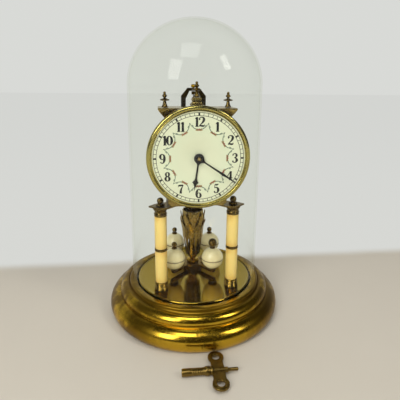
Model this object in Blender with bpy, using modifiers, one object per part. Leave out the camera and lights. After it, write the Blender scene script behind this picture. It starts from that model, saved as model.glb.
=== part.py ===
"""Anniversary (400-day) clock: torsion pendulum, geared train, glass dome and winding key.

Frame: metres, +Z up, the dial faces -Y, the origin is the middle of the felt face that the clock rests on.
Every wheel arbor lies along Y and the pendulum turns about a vertical axis behind the movement.
"""

import math

import bmesh
import bpy
from mathutils import Matrix

MM = 0.001
GAP = 0.3 * MM
MERGE = 1e-5

# Facets round a full turn, from the spun base down to pivots.
ROUND_LARGE = 36
ROUND_MEDIUM = 16
ROUND_SMALL = 12
ROUND_TINY = 8

# Base, from the table up.
BASE_RADIUS = 96 * MM
ROLL_RADIUS = 12.2 * MM
ROLL_CENTRE_Z = 9.5 * MM
CREVICE_RADIUS = 84.5 * MM
STEP_RADIUS = 76.5 * MM
STEP_TOP_Z = 31.5 * MM
DECK_Z = 34.7 * MM
WALL = 1.5 * MM
PLATE_RADIUS = 64.5 * MM
PLATE_TOP_Z = 35.4 * MM
PLATE_THICKNESS = 1.7 * MM
FELT_RADIUS = 86 * MM
FELT_THICKNESS = 1.2 * MM

# Glass dome.
DOME_RADIUS = 70 * MM
DOME_WALL = 2 * MM
DOME_FOOT_Z = DECK_Z + GAP
DOME_SPRING_Z = 249 * MM
DOME_TOP_Z = 316 * MM

# Two columns that carry the movement.
COLUMN_X = 38 * MM
COLUMN_Y = -31 * MM
SLEEVE_RADIUS = 6.4 * MM
TIE_ROD_RADIUS = 1.9 * MM
COLLAR_TOP_Z = 43.4 * MM
BAND_Z = 80.9 * MM
BAND_HEIGHT = 2.3 * MM
SLEEVE_TOP_Z = 118.0 * MM
CAPITAL_TOP_Z = 126.9 * MM
PLATFORM_Z = 127.2 * MM
PLATFORM_THICKNESS = 1.6 * MM
PLATFORM_TIP_X = 50 * MM

# Movement plates and the dial.
MOVEMENT_HALF_WIDTH = 30 * MM
PLATES_BOTTOM_Z = 129.1 * MM
PLATES_TOP_Z = 213.7 * MM
PLATE_METAL = 1.5 * MM
FRONT_PLATE_Y = -36.3 * MM
BACK_PLATE_Y = 1.5 * MM
PILLAR_RADIUS = 2.4 * MM
PILLAR_X = 25.5 * MM
PILLAR_ZS = (134 * MM, 208.5 * MM)
CENTRE_Z = 180.4 * MM
DIAL_FACE_Y = -44.8 * MM
DIAL_RADIUS = 47.3 * MM
BEZEL_RADIUS = 51.0 * MM
BEZEL_INNER_RADIUS = 45.6 * MM
CASE_RADIUS = 48.2 * MM
CASE_OPENING_RADIUS = 24.2 * MM

# Going train: (x, z) of each arbor seen from the front, and tooth modules.
CENTRE_AT = (0.0, CENTRE_Z)
THIRD_AT = (10 * MM, 190.2 * MM)
ESCAPE_AT = (0.0, 196.83 * MM)
ANCHOR_AT = (0.0, 207 * MM)
INTERMEDIATE_AT = (-10.5 * MM, 171.9 * MM)
SECOND_AT = (3 * MM, 162.9 * MM)
BARREL_AT = (-8 * MM, 147.48 * MM)
MINUTE_WHEEL_AT = (10.0 * MM, CENTRE_Z - 7.99 * MM)
TRAIN_TEETH = 48
TRAIN_LEAVES = 6
FAST_TEETH = 32
FAST_LEAVES = 8
BARREL_MODULE = 0.7 * MM
SECOND_MODULE = 0.6 * MM
INTERMEDIATE_MODULE = 0.5 * MM
CENTRE_MODULE = 0.7 * MM
THIRD_MODULE = 0.6 * MM
CANNON_LEAVES = 8
MINUTE_TEETH = 24
MINUTE_LEAVES = 6
HOUR_TEETH = 24
CANNON_MODULE = 0.8 * MM
HOUR_MODULE = CANNON_MODULE * (CANNON_LEAVES + MINUTE_TEETH) / (MINUTE_LEAVES + HOUR_TEETH)
PIVOT_RADIUS = 0.9 * MM
PIVOT_HOLE_RADIUS = 1.3 * MM
STUD_RADIUS = 0.7 * MM
MINUTE_ARBOR_RADIUS = 1.4 * MM
HOUR_PIPE_RADIUS = 2.5 * MM
ESCAPE_TEETH = 15
ESCAPE_RADIUS = 7.5 * MM
BARREL_RADIUS = 15.4 * MM
BARREL_ARBOR_RADIUS = 2.5 * MM
RATCHET_TEETH = 18
RATCHET_RADIUS = 9 * MM

# Hands.
HOUR_HAND_LENGTH = 33 * MM
MINUTE_HAND_LENGTH = 44.4 * MM
HAND_THICKNESS = 0.6 * MM
HOUR_HAND_Y = -46.1 * MM
MINUTE_HAND_Y = -47.4 * MM
HOUR_HAND_ANGLE = 188.0
MINUTE_HAND_ANGLE = 124.0

# Cornice and its three finials.
CORNICE_Z = 214 * MM
CORNICE_TOP_Z = 228 * MM
CORNICE_HALF_WIDTH = 39 * MM
CORNICE_Y = -17 * MM
CORNICE_HALF_DEPTH = 19 * MM
PEDESTAL_TOP_Z = 238 * MM
FINIAL_X = 32 * MM
FINIAL_Y = -20 * MM

# Suspension and torsion pendulum.
PENDULUM_Y = 16 * MM
BRACKET_HALF_WIDTH = 13.5 * MM
BRACKET_SHOULDER_Z = 238.5 * MM
BRACKET_TOP_Z = 247 * MM
BRACKET_FOOT_Z = 196 * MM
BRACKET_DEPTH = 6 * MM
SPRING_TOP_Z = 243.4 * MM
SPRING_BOTTOM_Z = 118 * MM
FORK_Z = 234.4 * MM
ANCHOR_PIN_Y = 6 * MM
TABLE_Z = 38.7 * MM
TABLE_THICKNESS = 2.8 * MM
BALL_RING_RADIUS = 30.9 * MM
BALL_RADIUS = 12.4 * MM
BALL_Z = 56 * MM
BALL_TURN = -3.0
CROWN_FOOT_Z = 52.8 * MM
CROWN_TOP_Z = 107.5 * MM
CROWN_LEAVES = 8
CROWN_SLOTS = 12
CROWN_SLOT_WIDTH = 2.4 * MM

# Winding key, lying in front of the base.
KEY_AT = (10.5 * MM, -119.3 * MM)
KEY_AXIS_Z = 4 * MM
KEY_BARREL_RADIUS = 3.4 * MM
KEY_SOCKET_X = -22 * MM
KEY_PIN_X = 28.5 * MM
KEY_LOOP_OFFSET = 15.5 * MM
KEY_LOOP_RADIUS = 7.4 * MM
KEY_HOLE_RADIUS = 3.4 * MM

BRASS = ("polished brass", (0.80, 0.58, 0.22), 0.22, 1.0)
DARK_BRASS = ("aged brass", (0.33, 0.23, 0.10), 0.35, 1.0)
WHEEL_BRASS = ("wheel brass", (0.78, 0.62, 0.30), 0.35, 1.0)
STEEL = ("steel", (0.55, 0.55, 0.56), 0.3, 1.0)
SPRING_STEEL = ("blued spring steel", (0.18, 0.20, 0.28), 0.3, 1.0)
IVORY = ("ivory sleeve", (0.88, 0.76, 0.42), 0.35, 0.0)
CREAM = ("cream lacquer", (0.90, 0.87, 0.76), 0.3, 0.0)
DIAL_PAINT = ("dial enamel", (0.92, 0.92, 0.84), 0.4, 0.0)
BLACK = ("black lacquer", (0.01, 0.01, 0.01), 0.3, 0.0)
GLASS = ("dome glass", (0.9, 0.95, 0.95), 0.02, 0.0)
FELT = ("green felt", (0.06, 0.14, 0.08), 0.95, 0.0)

CLOCK = "anniversary_clock"
CUTTERS = "cutters"


def clear_scene():
    """Remove whatever the scene holds and make the two collections."""
    for obj in list(bpy.data.objects):
        bpy.data.objects.remove(obj)
    for name in (CLOCK, CUTTERS):
        bpy.context.scene.collection.children.link(bpy.data.collections.new(name))


def material_of(finish):
    """The Principled material of a finish, made once."""
    name, colour, roughness, metallic = finish
    found = bpy.data.materials.get(name)
    if found:
        return found
    made = bpy.data.materials.new(name)
    made.use_nodes = True
    shader = made.node_tree.nodes["Principled BSDF"]
    shader.inputs["Base Color"].default_value = (*colour, 1.0)
    shader.inputs["Roughness"].default_value = roughness
    shader.inputs["Metallic"].default_value = metallic
    return made


def add_object(name, data, finish):
    """A new object of the clock, holding this mesh."""
    obj = bpy.data.objects.new(name, data)
    bpy.data.collections[CLOCK].objects.link(obj)
    data.materials.clear()
    data.materials.append(material_of(finish))
    return obj


def baked(obj, finish):
    """The object with its modifiers or curve made into a plain mesh under the same name."""
    bpy.context.view_layer.update()
    graph = bpy.context.evaluated_depsgraph_get()
    data = bpy.data.meshes.new_from_object(obj.evaluated_get(graph))
    work = bmesh.new()
    work.from_mesh(data)
    bmesh.ops.remove_doubles(work, verts=work.verts, dist=MERGE)
    work.to_mesh(data)
    work.free()
    name = obj.name
    place = obj.matrix_world.copy()
    bpy.data.objects.remove(obj)
    made = add_object(name, data, finish)
    made.matrix_world = place
    return made


def turned(name, profile, finish, facets=ROUND_MEDIUM, closed=False):
    """A piece turned about local Z from (radius, z) points that run down its outer side."""
    data = bpy.data.meshes.new(name)
    count = len(profile)
    edges = [(i, i + 1) for i in range(count - 1)]
    if closed:
        edges.append((count - 1, 0))
    data.from_pydata([(r, 0.0, z) for r, z in profile], edges, [])
    obj = add_object(name, data, finish)
    screw = obj.modifiers.new("turn", "SCREW")
    screw.steps = facets
    screw.render_steps = facets
    screw.use_merge_vertices = True
    screw.merge_threshold = MERGE
    obj = baked(obj, finish)
    obj.data.shade_smooth()
    obj.data.set_sharp_from_angle(angle=math.radians(35))
    return obj


def rod(name, radius, low, high, finish, facets=ROUND_SMALL):
    """A plain cylinder about local Z."""
    return turned(name, [(0, high), (radius, high), (radius, low), (0, low)], finish, facets)


def ring_profile(outer, bore, low, high):
    """Closed profile of a plain ring with a bore."""
    return [(bore, high), (outer, high), (outer, low), (bore, low)]


def cut_from_outline(name, loops, thickness, finish):
    """A flat piece in local XY, its loops being the outline and any holes, centred on local z = 0."""
    curve = bpy.data.curves.new(name, "CURVE")
    curve.dimensions = "2D"
    curve.fill_mode = "BOTH"
    curve.extrude = thickness / 2
    for loop in loops:
        spline = curve.splines.new("POLY")
        spline.points.add(len(loop) - 1)
        for point, (x, y) in zip(spline.points, loop):
            point.co = (x, y, 0, 1)
        spline.use_cyclic_u = True
    obj = bpy.data.objects.new(name, curve)
    bpy.data.collections[CLOCK].objects.link(obj)
    return baked(obj, finish)


def block(name, size, centre, finish):
    """A box with this size about this centre, in the clock's frame."""
    data = bpy.data.meshes.new(name)
    work = bmesh.new()
    bmesh.ops.create_cube(work, size=1.0, matrix=Matrix.Translation(centre) @ Matrix.Diagonal((*size, 1)))
    work.to_mesh(data)
    work.free()
    return add_object(name, data, finish)


def combined(base, others, operation, finish):
    """The base joined with, or cut by, the others, which are used up."""
    for other in others:
        change = base.modifiers.new(operation.lower(), "BOOLEAN")
        change.operation = operation
        change.solver = "EXACT"
        change.object = other
    base = baked(base, finish)
    for other in others:
        bpy.data.objects.remove(other)
    return base


def united(base, others, finish):
    """The base and the others as one body."""
    return combined(base, others, "UNION", finish)


def drilled(base, others, finish):
    """The base with the others cut out of it."""
    return combined(base, others, "DIFFERENCE", finish)


def facing_front(obj, place_x, place_z, place_y=0.0):
    """Turn a piece made in local XY so that it faces the front, local z becoming -Y."""
    obj.matrix_world = Matrix.Translation((place_x, place_y, place_z)) @ Matrix.Rotation(math.pi / 2, 4, "X")
    return obj


def hang_on(empty_name, place, pieces):
    """Parent pieces to an empty on their joint's axis, without moving them."""
    empty = bpy.data.objects.new(empty_name, None)
    empty.empty_display_size = 5 * MM
    empty.location = place
    bpy.data.collections[CLOCK].objects.link(empty)
    bpy.context.view_layer.update()
    for piece in pieces:
        place_now = piece.matrix_world.copy()
        piece.parent = empty
        piece.matrix_world = place_now
    return empty


def arc(centre_x, centre_y, radius, start, end, count):
    """Points along an arc, the angles in degrees."""
    angles = [math.radians(start + (end - start) * i / (count - 1)) for i in range(count)]
    return [(centre_x + radius * math.cos(a), centre_y + radius * math.sin(a)) for a in angles]


def circle(centre_x, centre_y, radius, count=ROUND_TINY):
    """A closed round loop."""
    return arc(centre_x, centre_y, radius, 0, 360, count + 1)[:-1]


# Toothed wheels

def tooth_loop(teeth, turn, corners):
    """Outline of a toothed wheel. Each corner of a tooth is (radius, place across the tooth in pitches)."""
    loop = []
    for tooth in range(teeth):
        for reach, share in corners:
            angle = turn + (tooth + share) * 2 * math.pi / teeth
            loop.append((reach * math.cos(angle), reach * math.sin(angle)))
    return loop


def wheel_loop(teeth, module, turn):
    """Outline of a wheel, with pointed teeth a little narrower than the gaps."""
    radius = teeth * module / 2
    root = radius - 1.15 * module
    return tooth_loop(teeth, turn, [(root, -0.32), (radius + 0.9 * module, 0.0), (root, 0.32)])


def pinion_loop(leaves, module, turn):
    """Outline of a pinion, with narrow leaves that leave backlash."""
    radius = leaves * module / 2
    root = radius - 1.2 * module
    tip = radius + 0.8 * module
    return tooth_loop(leaves, turn, [(root, -0.22), (tip, -0.10), (tip, 0.10), (root, 0.22)])


def meshing_turn(wheel_at, teeth, wheel_turn, pinion_at, leaves):
    """The turn of a pinion whose gap faces the wheel's tooth on the line between their centres."""
    line = math.atan2(pinion_at[1] - wheel_at[1], pinion_at[0] - wheel_at[0])
    share = ((line - wheel_turn) * teeth / (2 * math.pi)) % 1.0
    return line + math.pi + (share + 0.5) * 2 * math.pi / leaves


def between(low_y, high_y, obj):
    """Move a flat piece made about local z = 0 to lie between two planes of the movement."""
    obj.data.transform(Matrix.Translation((0, 0, -(low_y + high_y) / 2)))
    return obj


def flat_gear(name, loop, low_y, high_y, finish=WHEEL_BRASS):
    """A toothed disc lying between two planes of the movement, about the arbor."""
    return between(low_y, high_y, cut_from_outline(name, [loop], high_y - low_y, finish))


def train_wheel(name, place, arbor, gears, finish=WHEEL_BRASS):
    """Arbor (radius, y points) with gears (loop, low y, high y) pressed on it, as one piece."""
    profile = [(0, -arbor[0][1])]
    profile += [(radius, -y) for radius, y in arbor]
    profile.append((0, -arbor[-1][1]))
    shaft = turned(name, profile, finish, ROUND_TINY)
    discs = [flat_gear(f"{name}_disc_{i}", *gear) for i, gear in enumerate(gears)]
    return facing_front(united(shaft, discs, finish), *place)


def full_arbor(shaft_radius=PIVOT_RADIUS):
    """An arbor that runs between the plates, its pivots inside their holes."""
    front = FRONT_PLATE_Y + GAP
    back = BACK_PLATE_Y + PLATE_METAL - GAP
    return [(shaft_radius, front), (shaft_radius, back)]


# Base and dome

def make_base():
    """Spun base, polished inner plate and felt."""
    roll_x = BASE_RADIUS - ROLL_RADIUS
    step_drop = CREVICE_RADIUS - STEP_RADIUS
    deck_edge = STEP_RADIUS - 4 * MM
    seat = PLATE_RADIUS + 1.5 * MM
    floor_z = PLATE_TOP_Z - PLATE_THICKNESS - GAP
    outer = [(0, floor_z), (seat, floor_z), (seat + 0.6 * MM, DECK_Z), (deck_edge, DECK_Z)]
    outer += arc(deck_edge, DECK_Z - 1.4 * MM, 1.4 * MM, 90, 0, 3)[1:]
    outer += arc(STEP_RADIUS, STEP_TOP_Z - step_drop, step_drop, 90, 0, 5)
    outer += arc(roll_x, ROLL_CENTRE_Z, ROLL_RADIUS, 86, -48, 9)
    inner_radius = ROLL_RADIUS - WALL
    inner = arc(roll_x, ROLL_CENTRE_Z, inner_radius, -57, 90, 4)
    inner += [(STEP_RADIUS - WALL, STEP_TOP_Z - 4 * MM),
              (deck_edge - 2 * MM, floor_z - WALL),
              (0, floor_z - WALL)]
    shell = turned("base_shell", outer + inner, BRASS, ROUND_LARGE)
    rim = 0.8 * MM
    top = [(0, PLATE_TOP_Z), (PLATE_RADIUS - rim, PLATE_TOP_Z)]
    top += arc(PLATE_RADIUS - rim, PLATE_TOP_Z - rim, rim, 70, 0, 3)
    low = PLATE_TOP_Z - PLATE_THICKNESS
    plate = turned("base_plate", top + [(PLATE_RADIUS, low), (0, low)], BRASS, ROUND_LARGE)
    for body in (shell, plate):
        drills = []
        for side in (-1, 1):
            drill = rod("drill", TIE_ROD_RADIUS + GAP, low - 10 * MM, PLATE_TOP_Z + 5 * MM, BRASS,
                        ROUND_TINY)
            drill.location = (side * COLUMN_X, COLUMN_Y, 0)
            drills.append(drill)
        drilled(body, drills, BRASS)
    turned("felt_pad", [(0, FELT_THICKNESS), (FELT_RADIUS, FELT_THICKNESS), (FELT_RADIUS, 0), (0, 0)],
           FELT, ROUND_LARGE)


def make_dome():
    """Glass dome with a round top, open at the foot."""
    cap = 6
    outer = []
    inner = []
    for i in range(cap + 1):
        lean = math.pi / 2 * i / cap
        outer.append((DOME_RADIUS * math.sin(lean),
                      DOME_SPRING_Z + (DOME_TOP_Z - DOME_SPRING_Z) * math.cos(lean)))
        inner.append(((DOME_RADIUS - DOME_WALL) * math.sin(lean),
                      DOME_SPRING_Z + (DOME_TOP_Z - DOME_WALL - DOME_SPRING_Z) * math.cos(lean)))
    outer.append((DOME_RADIUS, DOME_FOOT_Z))
    inner.append((DOME_RADIUS - DOME_WALL, DOME_FOOT_Z))
    turned("glass_dome", outer + inner[::-1], GLASS, ROUND_LARGE)


# Columns and platform

def make_column(side, x):
    """One column: collar, two sleeves with a band between, capital, and the tie rod with its ball nut."""
    bore = TIE_ROD_RADIUS + GAP
    foot_z = PLATE_TOP_Z + GAP
    band_low = BAND_Z - BAND_HEIGHT / 2
    band_high = BAND_Z + BAND_HEIGHT / 2
    collar = [(bore, COLLAR_TOP_Z), (6.6 * MM, COLLAR_TOP_Z), (7.4 * MM, COLLAR_TOP_Z - 0.8 * MM),
              (6.9 * MM, COLLAR_TOP_Z - 1.8 * MM), (7.6 * MM, COLLAR_TOP_Z - 2.8 * MM),
              (7.1 * MM, foot_z + 2 * MM), (7.7 * MM, foot_z + 1 * MM), (7.5 * MM, foot_z), (bore, foot_z)]
    capital = [(bore, CAPITAL_TOP_Z), (7.8 * MM, CAPITAL_TOP_Z), (7.8 * MM, CAPITAL_TOP_Z - 1.8 * MM),
               (6.9 * MM, CAPITAL_TOP_Z - 2.8 * MM), (7.4 * MM, CAPITAL_TOP_Z - 4 * MM),
               (6.4 * MM, CAPITAL_TOP_Z - 5.6 * MM), (6.0 * MM, SLEEVE_TOP_Z + 2.4 * MM),
               (6.5 * MM, SLEEVE_TOP_Z + 1.4 * MM), (6.3 * MM, SLEEVE_TOP_Z + GAP), (bore,
               SLEEVE_TOP_Z + GAP)]
    head_z = PLATFORM_Z + PLATFORM_THICKNESS + GAP
    ball_z = 134 * MM
    ball = 3.5 * MM
    tie = [(0, ball_z + ball)]
    tie += arc(0, ball_z, ball, 60, -50, 5)
    tie += [(1.9 * MM, head_z + 2 * MM), (4.2 * MM, head_z + 1.7 * MM), (4.6 * MM, head_z + 0.9 * MM),
            (4.3 * MM, head_z), (TIE_ROD_RADIUS, head_z), (TIE_ROD_RADIUS, PLATE_TOP_Z - 5 * MM),
            (0, PLATE_TOP_Z - 5 * MM)]
    pieces = [
        turned(f"column_collar_{side}", collar, DARK_BRASS, ROUND_MEDIUM, True),
        turned(f"lower_sleeve_{side}", ring_profile(SLEEVE_RADIUS, bore, COLLAR_TOP_Z + GAP, band_low - GAP),
               IVORY, ROUND_MEDIUM, True),
        turned(f"column_band_{side}", ring_profile(SLEEVE_RADIUS + 0.2 * MM, bore, band_low, band_high),
               DARK_BRASS, ROUND_MEDIUM, True),
        turned(f"upper_sleeve_{side}", ring_profile(SLEEVE_RADIUS, bore, band_high + GAP, SLEEVE_TOP_Z),
               IVORY, ROUND_MEDIUM, True),
        turned(f"capital_{side}", capital, DARK_BRASS, ROUND_MEDIUM, True),
        turned(f"tie_rod_{side}", tie, DARK_BRASS, ROUND_SMALL),
    ]
    for piece in pieces:
        piece.location = (x, COLUMN_Y, 0)


def make_platform():
    """Flat plate on the two columns, its front edge a shallow arch and its ends drawn out to points."""
    back_y = BACK_PLATE_Y + PLATE_METAL
    half = MOVEMENT_HALF_WIDTH + 1 * MM
    right = [(0, COLUMN_Y + 6 * MM), (12 * MM, COLUMN_Y + 4.5 * MM), (22 * MM, COLUMN_Y),
             (30 * MM, COLUMN_Y - 7.5 * MM), (COLUMN_X, COLUMN_Y - 9 * MM), (44 * MM, COLUMN_Y - 5 * MM),
             (PLATFORM_TIP_X, COLUMN_Y), (44 * MM, COLUMN_Y + 6 * MM), (COLUMN_X, COLUMN_Y + 9 * MM),
             (half + 1 * MM, COLUMN_Y + 12 * MM), (half, back_y - 3 * MM), (half - 3 * MM, back_y)]
    outline = right + [(-x, y) for x, y in right[::-1] if x > 0]
    holes = [circle(side * COLUMN_X, COLUMN_Y, TIE_ROD_RADIUS + GAP, ROUND_SMALL) for side in (-1, 1)]
    plate = cut_from_outline("platform", [outline] + holes, PLATFORM_THICKNESS, DARK_BRASS)
    plate.location = (0, 0, PLATFORM_Z + PLATFORM_THICKNESS / 2)


# Movement

def plate_outline():
    """Movement plate outline about the clock's middle, with cut corners."""
    cut = 3 * MM
    half = MOVEMENT_HALF_WIDTH
    low = PLATES_BOTTOM_Z
    top = PLATES_TOP_Z
    right = [(half - cut, low), (half, low + cut), (half, top - cut), (half - cut, top)]
    return right + [(-x, z) for x, z in right[::-1]]


def make_plates():
    """Front plate with its four riveted pillars and the minute wheel's stud, and the back plate."""
    pivots = [circle(*place, PIVOT_HOLE_RADIUS) for place in
              (THIRD_AT, ESCAPE_AT, ANCHOR_AT, INTERMEDIATE_AT, SECOND_AT)]
    arbor_hole = circle(*BARREL_AT, BARREL_ARBOR_RADIUS + GAP + 0.1 * MM, ROUND_SMALL)
    front_holes = pivots + [circle(*CENTRE_AT, PIVOT_HOLE_RADIUS), circle(*BARREL_AT, PIVOT_HOLE_RADIUS)]
    front = cut_from_outline("front_plate", [plate_outline()] + front_holes, PLATE_METAL, WHEEL_BRASS)
    facing_front(front, 0, 0, FRONT_PLATE_Y + PLATE_METAL / 2)
    stud = facing_front(rod("stud", STUD_RADIUS, -FRONT_PLATE_Y - PLATE_METAL / 2, 42.6 * MM, STEEL,
                            ROUND_TINY),
                        *MINUTE_WHEEL_AT)
    posts = [stud]
    for x in (-PILLAR_X, PILLAR_X):
        for z in PILLAR_ZS:
            post = rod("post", PILLAR_RADIUS, -BACK_PLATE_Y + GAP, -FRONT_PLATE_Y - PLATE_METAL / 2,
                       WHEEL_BRASS)
            posts.append(facing_front(post, x, z))
    united(front, posts, WHEEL_BRASS)
    holes = pivots + [circle(*CENTRE_AT, PIVOT_HOLE_RADIUS), arbor_hole]
    back = cut_from_outline("back_plate", [plate_outline()] + holes, PLATE_METAL, WHEEL_BRASS)
    facing_front(back, 0, 0, BACK_PLATE_Y + PLATE_METAL / 2)


def make_train():
    """Barrel to escape wheel, each turned so that its teeth stand in its neighbour's gaps."""
    barrel_turn = 0.0
    second_turn = meshing_turn(BARREL_AT, TRAIN_TEETH, barrel_turn, SECOND_AT, TRAIN_LEAVES)
    inter_turn = meshing_turn(SECOND_AT, TRAIN_TEETH, 0.0, INTERMEDIATE_AT, TRAIN_LEAVES)
    centre_turn = meshing_turn(INTERMEDIATE_AT, TRAIN_TEETH, 0.0, CENTRE_AT, TRAIN_LEAVES)
    third_turn = meshing_turn(CENTRE_AT, FAST_TEETH, 0.0, THIRD_AT, FAST_LEAVES)
    escape_turn = meshing_turn(THIRD_AT, FAST_TEETH, 0.0, ESCAPE_AT, FAST_LEAVES)
    second = train_wheel("second_wheel", SECOND_AT, full_arbor(), [
        (pinion_loop(TRAIN_LEAVES, BARREL_MODULE, second_turn), -14 * MM, -10 * MM),
        (wheel_loop(TRAIN_TEETH, SECOND_MODULE, 0.0), -8.5 * MM, -7 * MM)])
    inter = train_wheel("intermediate_wheel", INTERMEDIATE_AT, full_arbor(), [
        (pinion_loop(TRAIN_LEAVES, SECOND_MODULE, inter_turn), -9.4 * MM, -6.2 * MM),
        (wheel_loop(TRAIN_TEETH, INTERMEDIATE_MODULE, 0.0), -4.4 * MM, -3 * MM)])
    third = train_wheel("third_wheel", THIRD_AT, full_arbor(), [
        (pinion_loop(FAST_LEAVES, CENTRE_MODULE, third_turn), -21.2 * MM, -17.4 * MM),
        (wheel_loop(FAST_TEETH, THIRD_MODULE, 0.0), -13.2 * MM, -12 * MM)])
    escape = train_wheel("escape_wheel", ESCAPE_AT, full_arbor(0.9 * MM), [
        (pinion_loop(FAST_LEAVES, THIRD_MODULE, escape_turn), -14.2 * MM, -11 * MM),
        (escape_loop(), -8 * MM, -6.8 * MM)])
    centre_arbor = [(0.8 * MM, -49.6 * MM), (0.8 * MM, MINUTE_HAND_Y),
                    (MINUTE_ARBOR_RADIUS, MINUTE_HAND_Y),
                    (MINUTE_ARBOR_RADIUS, FRONT_PLATE_Y - 1 * MM), (PIVOT_RADIUS, FRONT_PLATE_Y - 1 * MM),
                    (PIVOT_RADIUS, BACK_PLATE_Y + PLATE_METAL - GAP)]
    cannon_turn = 0.0
    centre = train_wheel("centre_wheel", CENTRE_AT, centre_arbor, [
        (pinion_loop(CANNON_LEAVES, CANNON_MODULE, cannon_turn), -39.9 * MM, -37.9 * MM),
        (wheel_loop(FAST_TEETH, CENTRE_MODULE, 0.0), -20 * MM, -18.6 * MM),
        (pinion_loop(TRAIN_LEAVES, INTERMEDIATE_MODULE, centre_turn), -5.3 * MM, -2.1 * MM)])
    hang_on("second_axis", (SECOND_AT[0], 0, SECOND_AT[1]), [second])
    hang_on("intermediate_axis", (INTERMEDIATE_AT[0], 0, INTERMEDIATE_AT[1]), [inter])
    hang_on("third_axis", (THIRD_AT[0], 0, THIRD_AT[1]), [third])
    hang_on("escape_axis", (ESCAPE_AT[0], 0, ESCAPE_AT[1]), [escape])
    return centre, cannon_turn


def escape_loop():
    """Outline of the escape wheel, its teeth leaning into the turn."""
    root = 0.74 * ESCAPE_RADIUS
    return tooth_loop(ESCAPE_TEETH, 0.0, [(root, 0.0), (ESCAPE_RADIUS, 0.42), (ESCAPE_RADIUS, 0.50), (root,
            0.55)])


def make_motion_work(cannon_turn):
    """Minute wheel on its stud, and the hour wheel whose pipe carries the hour hand."""
    minute_turn = meshing_turn(CENTRE_AT, CANNON_LEAVES, cannon_turn, MINUTE_WHEEL_AT, MINUTE_TEETH)
    hub = rod("minute_wheel", 1.5 * MM, 37.7 * MM, 42.4 * MM, WHEEL_BRASS, ROUND_TINY)
    large = wheel_loop(MINUTE_TEETH, CANNON_MODULE, minute_turn)
    small = pinion_loop(MINUTE_LEAVES, HOUR_MODULE, 0.0)
    discs = [flat_gear("disc", large, -39.6 * MM, -38.2 * MM), flat_gear("disc", small, -42.2 * MM,
            -40.2 * MM)]
    hub = united(hub, discs, WHEEL_BRASS)
    drill = rod("drill", STUD_RADIUS + GAP, 30 * MM, 50 * MM, WHEEL_BRASS, ROUND_TINY)
    minute = facing_front(drilled(hub, [drill], WHEEL_BRASS), *MINUTE_WHEEL_AT)
    hang_on("minute_wheel_axis", (MINUTE_WHEEL_AT[0], 0, MINUTE_WHEEL_AT[1]), [minute])
    hour_turn = meshing_turn(MINUTE_WHEEL_AT, MINUTE_LEAVES, 0.0, CENTRE_AT, HOUR_TEETH)
    pipe_bore = MINUTE_ARBOR_RADIUS + GAP
    pipe = rod("hour_wheel", HOUR_PIPE_RADIUS, 40.4 * MM, -HOUR_HAND_Y + 0.3 * MM, WHEEL_BRASS)
    disc = flat_gear("disc", wheel_loop(HOUR_TEETH, HOUR_MODULE, hour_turn), -41.9 * MM, -40.5 * MM)
    drill = rod("drill", pipe_bore, 30 * MM, 60 * MM, WHEEL_BRASS)
    return facing_front(drilled(united(pipe, [disc], WHEEL_BRASS), [drill], WHEEL_BRASS), *CENTRE_AT)


def make_barrel():
    """Barrel with its great wheel, cover and mainspring, and the winding arbor with ratchet and click."""
    bore = BARREL_ARBOR_RADIUS + GAP
    front = 31 * MM
    wall = 1 * MM
    cup = [(BARREL_RADIUS - wall, front), (BARREL_RADIUS, front), (BARREL_RADIUS, 11 * MM), (bore, 11 * MM),
           (bore, 12.3 * MM), (BARREL_RADIUS - wall, 12.3 * MM)]
    drum = turned("mainspring_barrel", cup, WHEEL_BRASS, ROUND_MEDIUM, True)
    ring = cut_from_outline("ring", [wheel_loop(TRAIN_TEETH, BARREL_MODULE, 0.0),
                                     circle(0, 0, BARREL_RADIUS - 0.5 * MM, ROUND_MEDIUM)], 1.8 * MM,
                            WHEEL_BRASS)
    between(-13 * MM, -11.2 * MM, ring)
    drum = facing_front(united(drum, [ring], WHEEL_BRASS), *BARREL_AT)
    lid = turned("barrel_cover", ring_profile(BARREL_RADIUS - wall - GAP, bore, front - 1.4 * MM,
                                              front - 0.2 * MM),
                 WHEEL_BRASS, ROUND_MEDIUM, True)
    facing_front(lid, *BARREL_AT)
    spring = facing_front(make_mainspring(bore, BARREL_RADIUS - wall), *BARREL_AT)
    hang_on("barrel_axis", (BARREL_AT[0], 0, BARREL_AT[1]), [drum, lid, spring])
    back = BACK_PLATE_Y + PLATE_METAL
    shaft = [(0, -FRONT_PLATE_Y - GAP), (PIVOT_RADIUS, -FRONT_PLATE_Y - GAP),
             (PIVOT_RADIUS, -FRONT_PLATE_Y - PLATE_METAL - GAP),
             (BARREL_ARBOR_RADIUS, -FRONT_PLATE_Y - PLATE_METAL - GAP), (BARREL_ARBOR_RADIUS,
             -back - 2 * MM),
             (0, -back - 2 * MM)]
    arbor = turned("winding_arbor", shaft, STEEL, ROUND_SMALL)
    ratchet = flat_gear("ratchet", ratchet_loop(), back + 0.4 * MM, back + 1.8 * MM)
    square = block("square", (3.4 * MM, 3.4 * MM, 11 * MM), (0, 0, -back - 6.5 * MM), STEEL)
    arbor = facing_front(united(arbor, [ratchet, square], STEEL), *BARREL_AT)
    hang_on("winding_axis", (BARREL_AT[0], 0, BARREL_AT[1]), [arbor])


def make_mainspring(inner, outer):
    """Spiral strip wound inside the barrel: radius grows evenly with angle."""
    turns = 4
    per_turn = 12
    half = 0.25 * MM
    start = inner + 0.8 * MM
    grow = outer - GAP - half - 0.3 * MM - start
    line = [(start + grow * i / (turns * per_turn),
             2 * math.pi * i / per_turn) for i in range(turns * per_turn + 1)]
    outside = [((r + half) * math.cos(a), (r + half) * math.sin(a)) for r, a in line]
    inside = [((r - half) * math.cos(a), (r - half) * math.sin(a)) for r, a in line[::-1]]
    strip = cut_from_outline("mainspring", [outside + inside], 16 * MM, SPRING_STEEL)
    return between(-29 * MM, -13 * MM, strip)


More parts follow.
